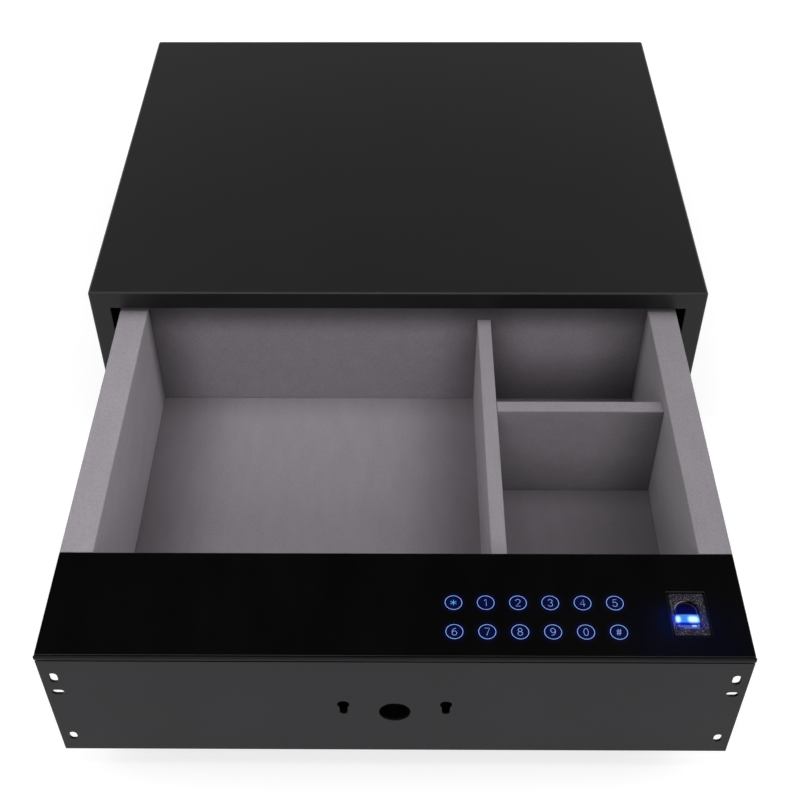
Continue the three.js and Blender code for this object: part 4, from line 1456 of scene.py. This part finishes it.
@dataclass
class TouchKeypad(SubAssembly):
    """Two rows of lit touch symbols, each in its ring, printed under the glass."""

    rows: Sequence[str] = ("*12345", "67890#")
    first_x: float = 32.8
    pitch_x: float = 18.0
    back_y: float = -425.0
    pitch_y: float = 19.5
    ring_radius: float = 4.7
    ring_parts: int = 40
    line: float = 0.15
    line_parts: int = 6
    symbol_height: float = 4.7
    flatness: float = 0.2
    lift: float = 0.03

    def sizes(self) -> Sizes:
        """Sizes that the rings' tree takes, those of its grid first.

        Returns:
            The tree's inputs.
        """
        columns, rows = len(self.rows[0]), len(self.rows)
        return {
            "Columns": (WHOLE, columns),
            "Rows": (WHOLE, rows),
            "Width": (FLOAT, (columns - 1) * self.pitch_x * MM),
            "Depth": (FLOAT, (rows - 1) * self.pitch_y * MM),
            "Ring Radius": (FLOAT, self.ring_radius * MM),
            "Line Radius": (FLOAT, self.line * MM),
        }

    def centre(self) -> Vector:
        """Middle of the keypad on the glass.

        Returns:
            The point in metres.
        """
        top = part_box("touch_glass")[1].z
        x = self.first_x + (len(self.rows[0]) - 1) * self.pitch_x / 2
        return Vector((x * MM, (self.back_y - self.pitch_y / 2) * MM, top))

    def rings(self) -> bpy.types.Object:
        """The rings, flattened into the glass.

        Returns:
            The piece.
        """
        graph = GeometryGraph("key rings", self.sizes())
        kind = "GeometryNodeCurvePrimitiveCircle"
        path, section = (
            graph.node(kind, {"Resolution": parts, "Radius": graph.given[label]})
            for parts, label in ((self.ring_parts, "Ring Radius"), (self.line_parts, "Line Radius")))
        tube = graph.node("GeometryNodeCurveToMesh", {"Curve": path, "Profile Curve": section})
        flat = graph.node("GeometryNodeTransform", {"Geometry": tube, "Scale": (1, 1, self.flatness)})
        move = {"Translation": self.centre() + Vector((0, 0, self.lift * MM))}
        graph.end(graph.gridded(flat, move), Stock.ring_light)
        return graph.piece("key_rings")

    def symbols(self, signs: Sequence[str], name: str) -> bpy.types.Object:
        """Strokes of some of the symbols, flattened into the glass.

        Args:
            signs: The symbols to draw.
            name: Name of the piece.

        Returns:
            The strokes.
        """
        curve = bpy.data.curves.new(name, "CURVE")
        curve.dimensions = "3D"
        curve.bevel_depth = self.line
        curve.bevel_resolution = 1
        curve.use_fill_caps = True
        for row, line in enumerate(self.rows):
            for column, sign in enumerate(line):
                if sign not in signs:
                    continue
                x = (column - (len(line) - 1) / 2) * self.pitch_x
                y = ((len(self.rows) - 1) / 2 - row) * self.pitch_y
                for stroke in STROKES[sign]:
                    spline = curve.splines.new("POLY")
                    spline.points.add(len(stroke) - 1)
                    for point, (u, v) in zip(spline.points, stroke):
                        across, up = u - SIGN_MIDDLE[0], v - SIGN_MIDDLE[1]
                        point.co = (x + across * self.symbol_height, y + up * self.symbol_height, 0, 1)
        carrier = linked(name, curve)
        mesh = evaluated(carrier)
        bpy.data.objects.remove(carrier)
        lifted = Matrix.Translation(self.centre() + Vector((0, 0, self.lift * MM)))
        mesh.transform(lifted @ Matrix.Diagonal((MM, MM, MM * self.flatness, 1)))
        return linked(name, mesh)

    def build(self) -> None:
        """Builds the keypad."""
        finished(self.rings(), Body.DRAWER)
        prints = (("1234567890#", "key_digits", Stock.symbol_light), ("*", "key_star", Stock.star_light))
        for signs, name, light in prints:
            finished(self.symbols(signs, name), Body.DRAWER, light)
        dressed(Stock.circuit, "keypad_board", "sensor_board", "control_board")
        dressed(Stock.cable, "keypad_ribbon")


@dataclass
class FingerprintReader(SubAssembly):
    """Flecked bezel round a lit lens with an arched top."""

    count: int = 64
    window: tuple[Point, Point] = ((155.2, -441.3), (169.1, -422.4))
    corner: float = 1.6
    foot_corner: float = 2.2
    shoulder: float = 0.4
    bevel: Sequence[Point] = ((0.0, 0.5), (0.25, 0.12), (0.6, 0.0))
    mouth: Sequence[Point] = ((-1.0, 0.1), (-0.4, 0.4))
    lens_drop: float = 0.6
    lens_gap: float = 0.2
    lens_rise: float = 0.45
    lens_rings: Sequence[float] = (0.0, 0.25, 0.5, 0.75, 0.92)

    def ring(self, corners: tuple[Vector, Vector], inset: float, radii: Sequence[float],
             z: float) -> list[Vector]:
        """Evenly spaced loop round a box at a height, in metres.

        Args:
            corners: Lowest and highest corner in metres.
            inset: Distance inside the box in millimetres.
            radii: Radius at the four corners, from the front left, anticlockwise.
            z: Height in millimetres.

        Returns:
            The loop.
        """
        x0, y0 = (c / MM + inset for c in corners[0].xy)
        x1, y1 = (c / MM - inset for c in corners[1].xy)
        box = [(x0, y0), (x1, y0), (x1, y1), (x0, y1)]
        return [Vector((x, y, z)) * MM for x, y in even_loop(rounded_loop(box, radii, 8), self.count)]

    def build(self) -> None:
        """Builds the reader."""
        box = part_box("fingerprint_frame")
        low, high = (corner.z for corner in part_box("fingerprint_window"))
        lens = tuple(Vector((x, y, z / MM)) * MM for (x, y), z in zip(self.window, (low, high)))
        foot, top = (corner.z / MM for corner in box)
        lens_top = high / MM - self.lens_drop
        arch = (lens[1].x - lens[0].x) / MM / 2 - self.shoulder
        opening = [self.foot_corner] * 2 + [arch] * 2
        side = [self.corner] * 4
        loops = [self.ring(box, 0, side, foot)]
        loops += [self.ring(box, inset, side, top - drop) for inset, drop in self.bevel]
        for inset, drop in self.mouth:
            loops.append(self.ring(lens, inset, [r - inset for r in opening], top - drop))
        loops += [self.ring(lens, 0, opening, z) for z in (lens_top - self.lens_gap, foot)]
        bezel = lofted("reader_bezel", loops, True)
        finished(bezel, Body.DRAWER, Stock.bezel, ["fingerprint_frame"])
        inner = [r - self.lens_gap for r in opening]
        lens_loops = [self.ring(lens, self.lens_gap, inner, low / MM)]
        for share in self.lens_rings:
            rise = self.lens_rise * (1 - (1 - share) ** 2)
            flat = self.ring(lens, self.lens_gap, inner, lens_top + rise)
            middle = sum(flat, Vector((0, 0, 0))) / len(flat)
            lens_loops.append([middle.lerp(point, 1 - share) for point in flat])
        window = lofted("reader_lens", lens_loops, False)
        finished(window, Body.DRAWER, Stock.lens, ["fingerprint_window"])


@dataclass
class LockGear(SubAssembly):
    """Lock motor, gears, bolts and key cylinder."""

    bolt_edge: float = 0.4

    def build(self) -> None:
        """Dresses the lock."""
        dressed(Stock.zinc, "lock_plate")
        dressed(Stock.blackened, "key_cylinder", "key_plug", "lock_motor")
        dressed(Stock.brass, "lock_pinion", "motor_gear", "pinion_bush")
        for hand in ("left", "right"):
            node = f"bolt_{hand}"
            bolt = softened(node, f"lock_{node}", self.bolt_edge)
            finished(bolt, Body(node), Stock.bolt, [node])
        dressed(Stock.plastic, "bolt_guide_left", "bolt_guide_right", "lock_gearbox")
        dressed(Stock.wrap, *(f"battery_{i}" for i in range(1, 5)))


@dataclass(frozen=True)
class SoftBox:
    """Rectangular lamp: where it hangs, what it faces, its width and height in metres and its watts."""

    name: str
    place: tuple[float, float, float]
    aim: tuple[float, float, float]
    size: Point
    power: float

    def hang(self) -> None:
        """Hangs the lamp."""
        data = bpy.data.lights.new(self.name, "AREA")
        data.shape = "RECTANGLE"
        data.size, data.size_y = self.size
        data.energy = self.power
        lamp = bpy.data.objects.new(self.name, data)
        lamp.location = self.place
        lamp.rotation_mode = "QUATERNION"
        lamp.rotation_quaternion = (Vector(self.aim) - Vector(self.place)).to_track_quat("-Z", "Y")
        bpy.context.scene.collection.objects.link(lamp)


@dataclass
class Studio:
    """Camera at the photograph's view, soft lamps, pale floor and sky."""

    camera_place: tuple[float, float, float] = (0.006197, -0.847563, 0.684868)
    pitch: float = 44.474
    yaw: float = -0.591
    roll: float = -0.295
    lens: float = 56.28
    lamps: Sequence[SoftBox] = (
        SoftBox("right_strip_box", (1.07, -0.25, 1.42), (0, -0.25, 0.1), (0.8, 2.4), 14.0),
        SoftBox("left_strip_box", (-1.07, -0.25, 1.42), (0, -0.25, 0.1), (0.8, 2.4), 9.0),
        SoftBox("front_box", (0, -1.98, 1.1), (0, -0.25, 0.1), (1.6, 0.7), 13.0),
        SoftBox("overhead_box", (-0.45, -0.3, 1.5), (-0.1, -0.3, 0.1), (0.7, 0.9), 3.2),
    )
    room: float = 0.3
    card_light: float = 0.01
    card_elevation: float = 54.0
    card_radii: Point = (44.0, 22.0)
    glow: float = 0.9
    glow_heights: Point = (0.62, 0.3)
    glow_depths: Point = (0.1, 0.7)
    floor_size: float = 12.0
    floor_drop: float = 0.0006
    floor_shade: float = 0.45
    floor_white: float = 0.69
    far_white: float = 1.0
    near_reach: float = 0.75
    far_reach: float = 1.8

    def camera(self) -> None:
        """Makes the camera."""
        data = bpy.data.cameras.new("camera")
        data.lens = self.lens
        data.sensor_width = 36
        pitch, yaw, roll = (math.radians(a) for a in (self.pitch, self.yaw, self.roll))
        ahead = Vector((math.sin(yaw) * math.cos(pitch), math.cos(yaw) * math.cos(pitch), -math.sin(pitch)))
        level = Vector((math.cos(yaw), -math.sin(yaw), 0))
        over = level.cross(ahead)
        right = level * math.cos(roll) + over * math.sin(roll)
        up = -level * math.sin(roll) + over * math.cos(roll)
        camera = bpy.data.objects.new("camera", data)
        turn = Matrix((right, up, -ahead)).transposed().to_4x4()
        camera.matrix_world = Matrix.Translation(self.camera_place) @ turn
        bpy.context.scene.collection.objects.link(camera)
        bpy.context.scene.camera = camera

    def floor(self) -> None:
        """Lays the pale floor, white to the camera, with the safe's shadow on it."""
        bpy.ops.mesh.primitive_plane_add(size=self.floor_size, location=(0, 0, -self.floor_drop))
        floor = bpy.context.object
        floor.name = "studio_floor"
        material = bpy.data.materials.new("studio_floor_paint")
        material.use_nodes = True
        graph = Graph(material.node_tree)
        graph.tree.nodes.clear()
        path = graph.add("ShaderNodeLightPath").outputs
        mirrored = graph.math("MAXIMUM", path["Is Glossy Ray"], path["Is Transmission Ray"])
        seen = graph.math("MAXIMUM", path["Is Camera Ray"], mirrored)
        paint = graph.add("ShaderNodeBsdfDiffuse", {"Color": (*[self.floor_shade] * 3, 1)}).outputs[0]
        spot = graph.add("ShaderNodeTexCoord").outputs["Object"]
        away = graph.add("ShaderNodeVectorMath", {0: spot}, operation="LENGTH").outputs["Value"]
        white = graph.ramp(away, self.near_reach, self.far_reach, self.floor_white, self.far_white)
        inputs = {"Color": (1, 1, 1, 1), "Strength": graph.product(seen, white)}
        light = graph.add("ShaderNodeEmission", inputs).outputs[0]
        both = graph.add("ShaderNodeAddShader", {0: paint, 1: light}).outputs[0]
        graph.add("ShaderNodeOutputMaterial", {"Surface": both})
        floor.data.materials.append(material)

    def sky(self) -> None:
        """Makes the room: dim overhead, pale low down behind, and a black card that keeps the glass dark."""
        world = bpy.data.worlds.new("studio_room")
        world.use_nodes = True
        graph = Graph(world.node_tree)
        graph.tree.nodes.clear()
        way = graph.add("ShaderNodeTexCoord").outputs["Generated"]
        rise = math.radians(self.card_elevation)
        middle = (0.0, math.cos(rise), math.sin(rise))
        dot = graph.add("ShaderNodeVectorMath", {0: way, 1: middle}, operation="DOT_PRODUCT")
        near = dot.outputs["Value"]
        rim, core = (math.cos(math.radians(a)) for a in self.card_radii)
        level = graph.ramp(near, rim, core, self.room, self.card_light)
        parts = graph.add("ShaderNodeSeparateXYZ", {0: way}).outputs
        low = graph.ramp(parts[2], *self.glow_heights, 0.0, self.glow)
        behind = graph.ramp(parts[1], *self.glow_depths, 0.0, 1.0)
        level = graph.math("ADD", level, graph.product(low, behind))
        path = graph.add("ShaderNodeLightPath").outputs
        mirrored = graph.ramp(near, rim, core, 1.0, self.card_light)
        glossy = graph.math("MAXIMUM", path["Is Glossy Ray"], path["Is Transmission Ray"])
        level = graph.blended(glossy, level, mirrored)
        shown = graph.blended(path["Is Camera Ray"], level, 1.0)
        back = graph.add("ShaderNodeBackground", {"Color": (1, 1, 1, 1), "Strength": shown}).outputs[0]
        graph.add("ShaderNodeOutputWorld", {"Surface": back})
        bpy.context.scene.world = world

    def build(self) -> None:
        """Sets up the studio."""
        bpy.context.scene.view_settings.view_transform = "Standard"
        self.camera()
        for box in self.lamps:
            box.hang()
        self.floor()
        self.sky()


def main() -> None:
    """Builds the safe in its studio."""
    logging.basicConfig(level=logging.INFO, format="%(name)s: %(message)s")
    Studio().build()
    assemblies: list[Callable[[], SubAssembly]] = [
        CaseBody, SlideRails, DrawerTray, PlushLining, FrontBox, TouchKeypad, FingerprintReader, LockGear]
    for assembly in assemblies:
        log.info("building %s", assembly.__name__)
        assembly().build()


if __name__ == "__main__":
    main()
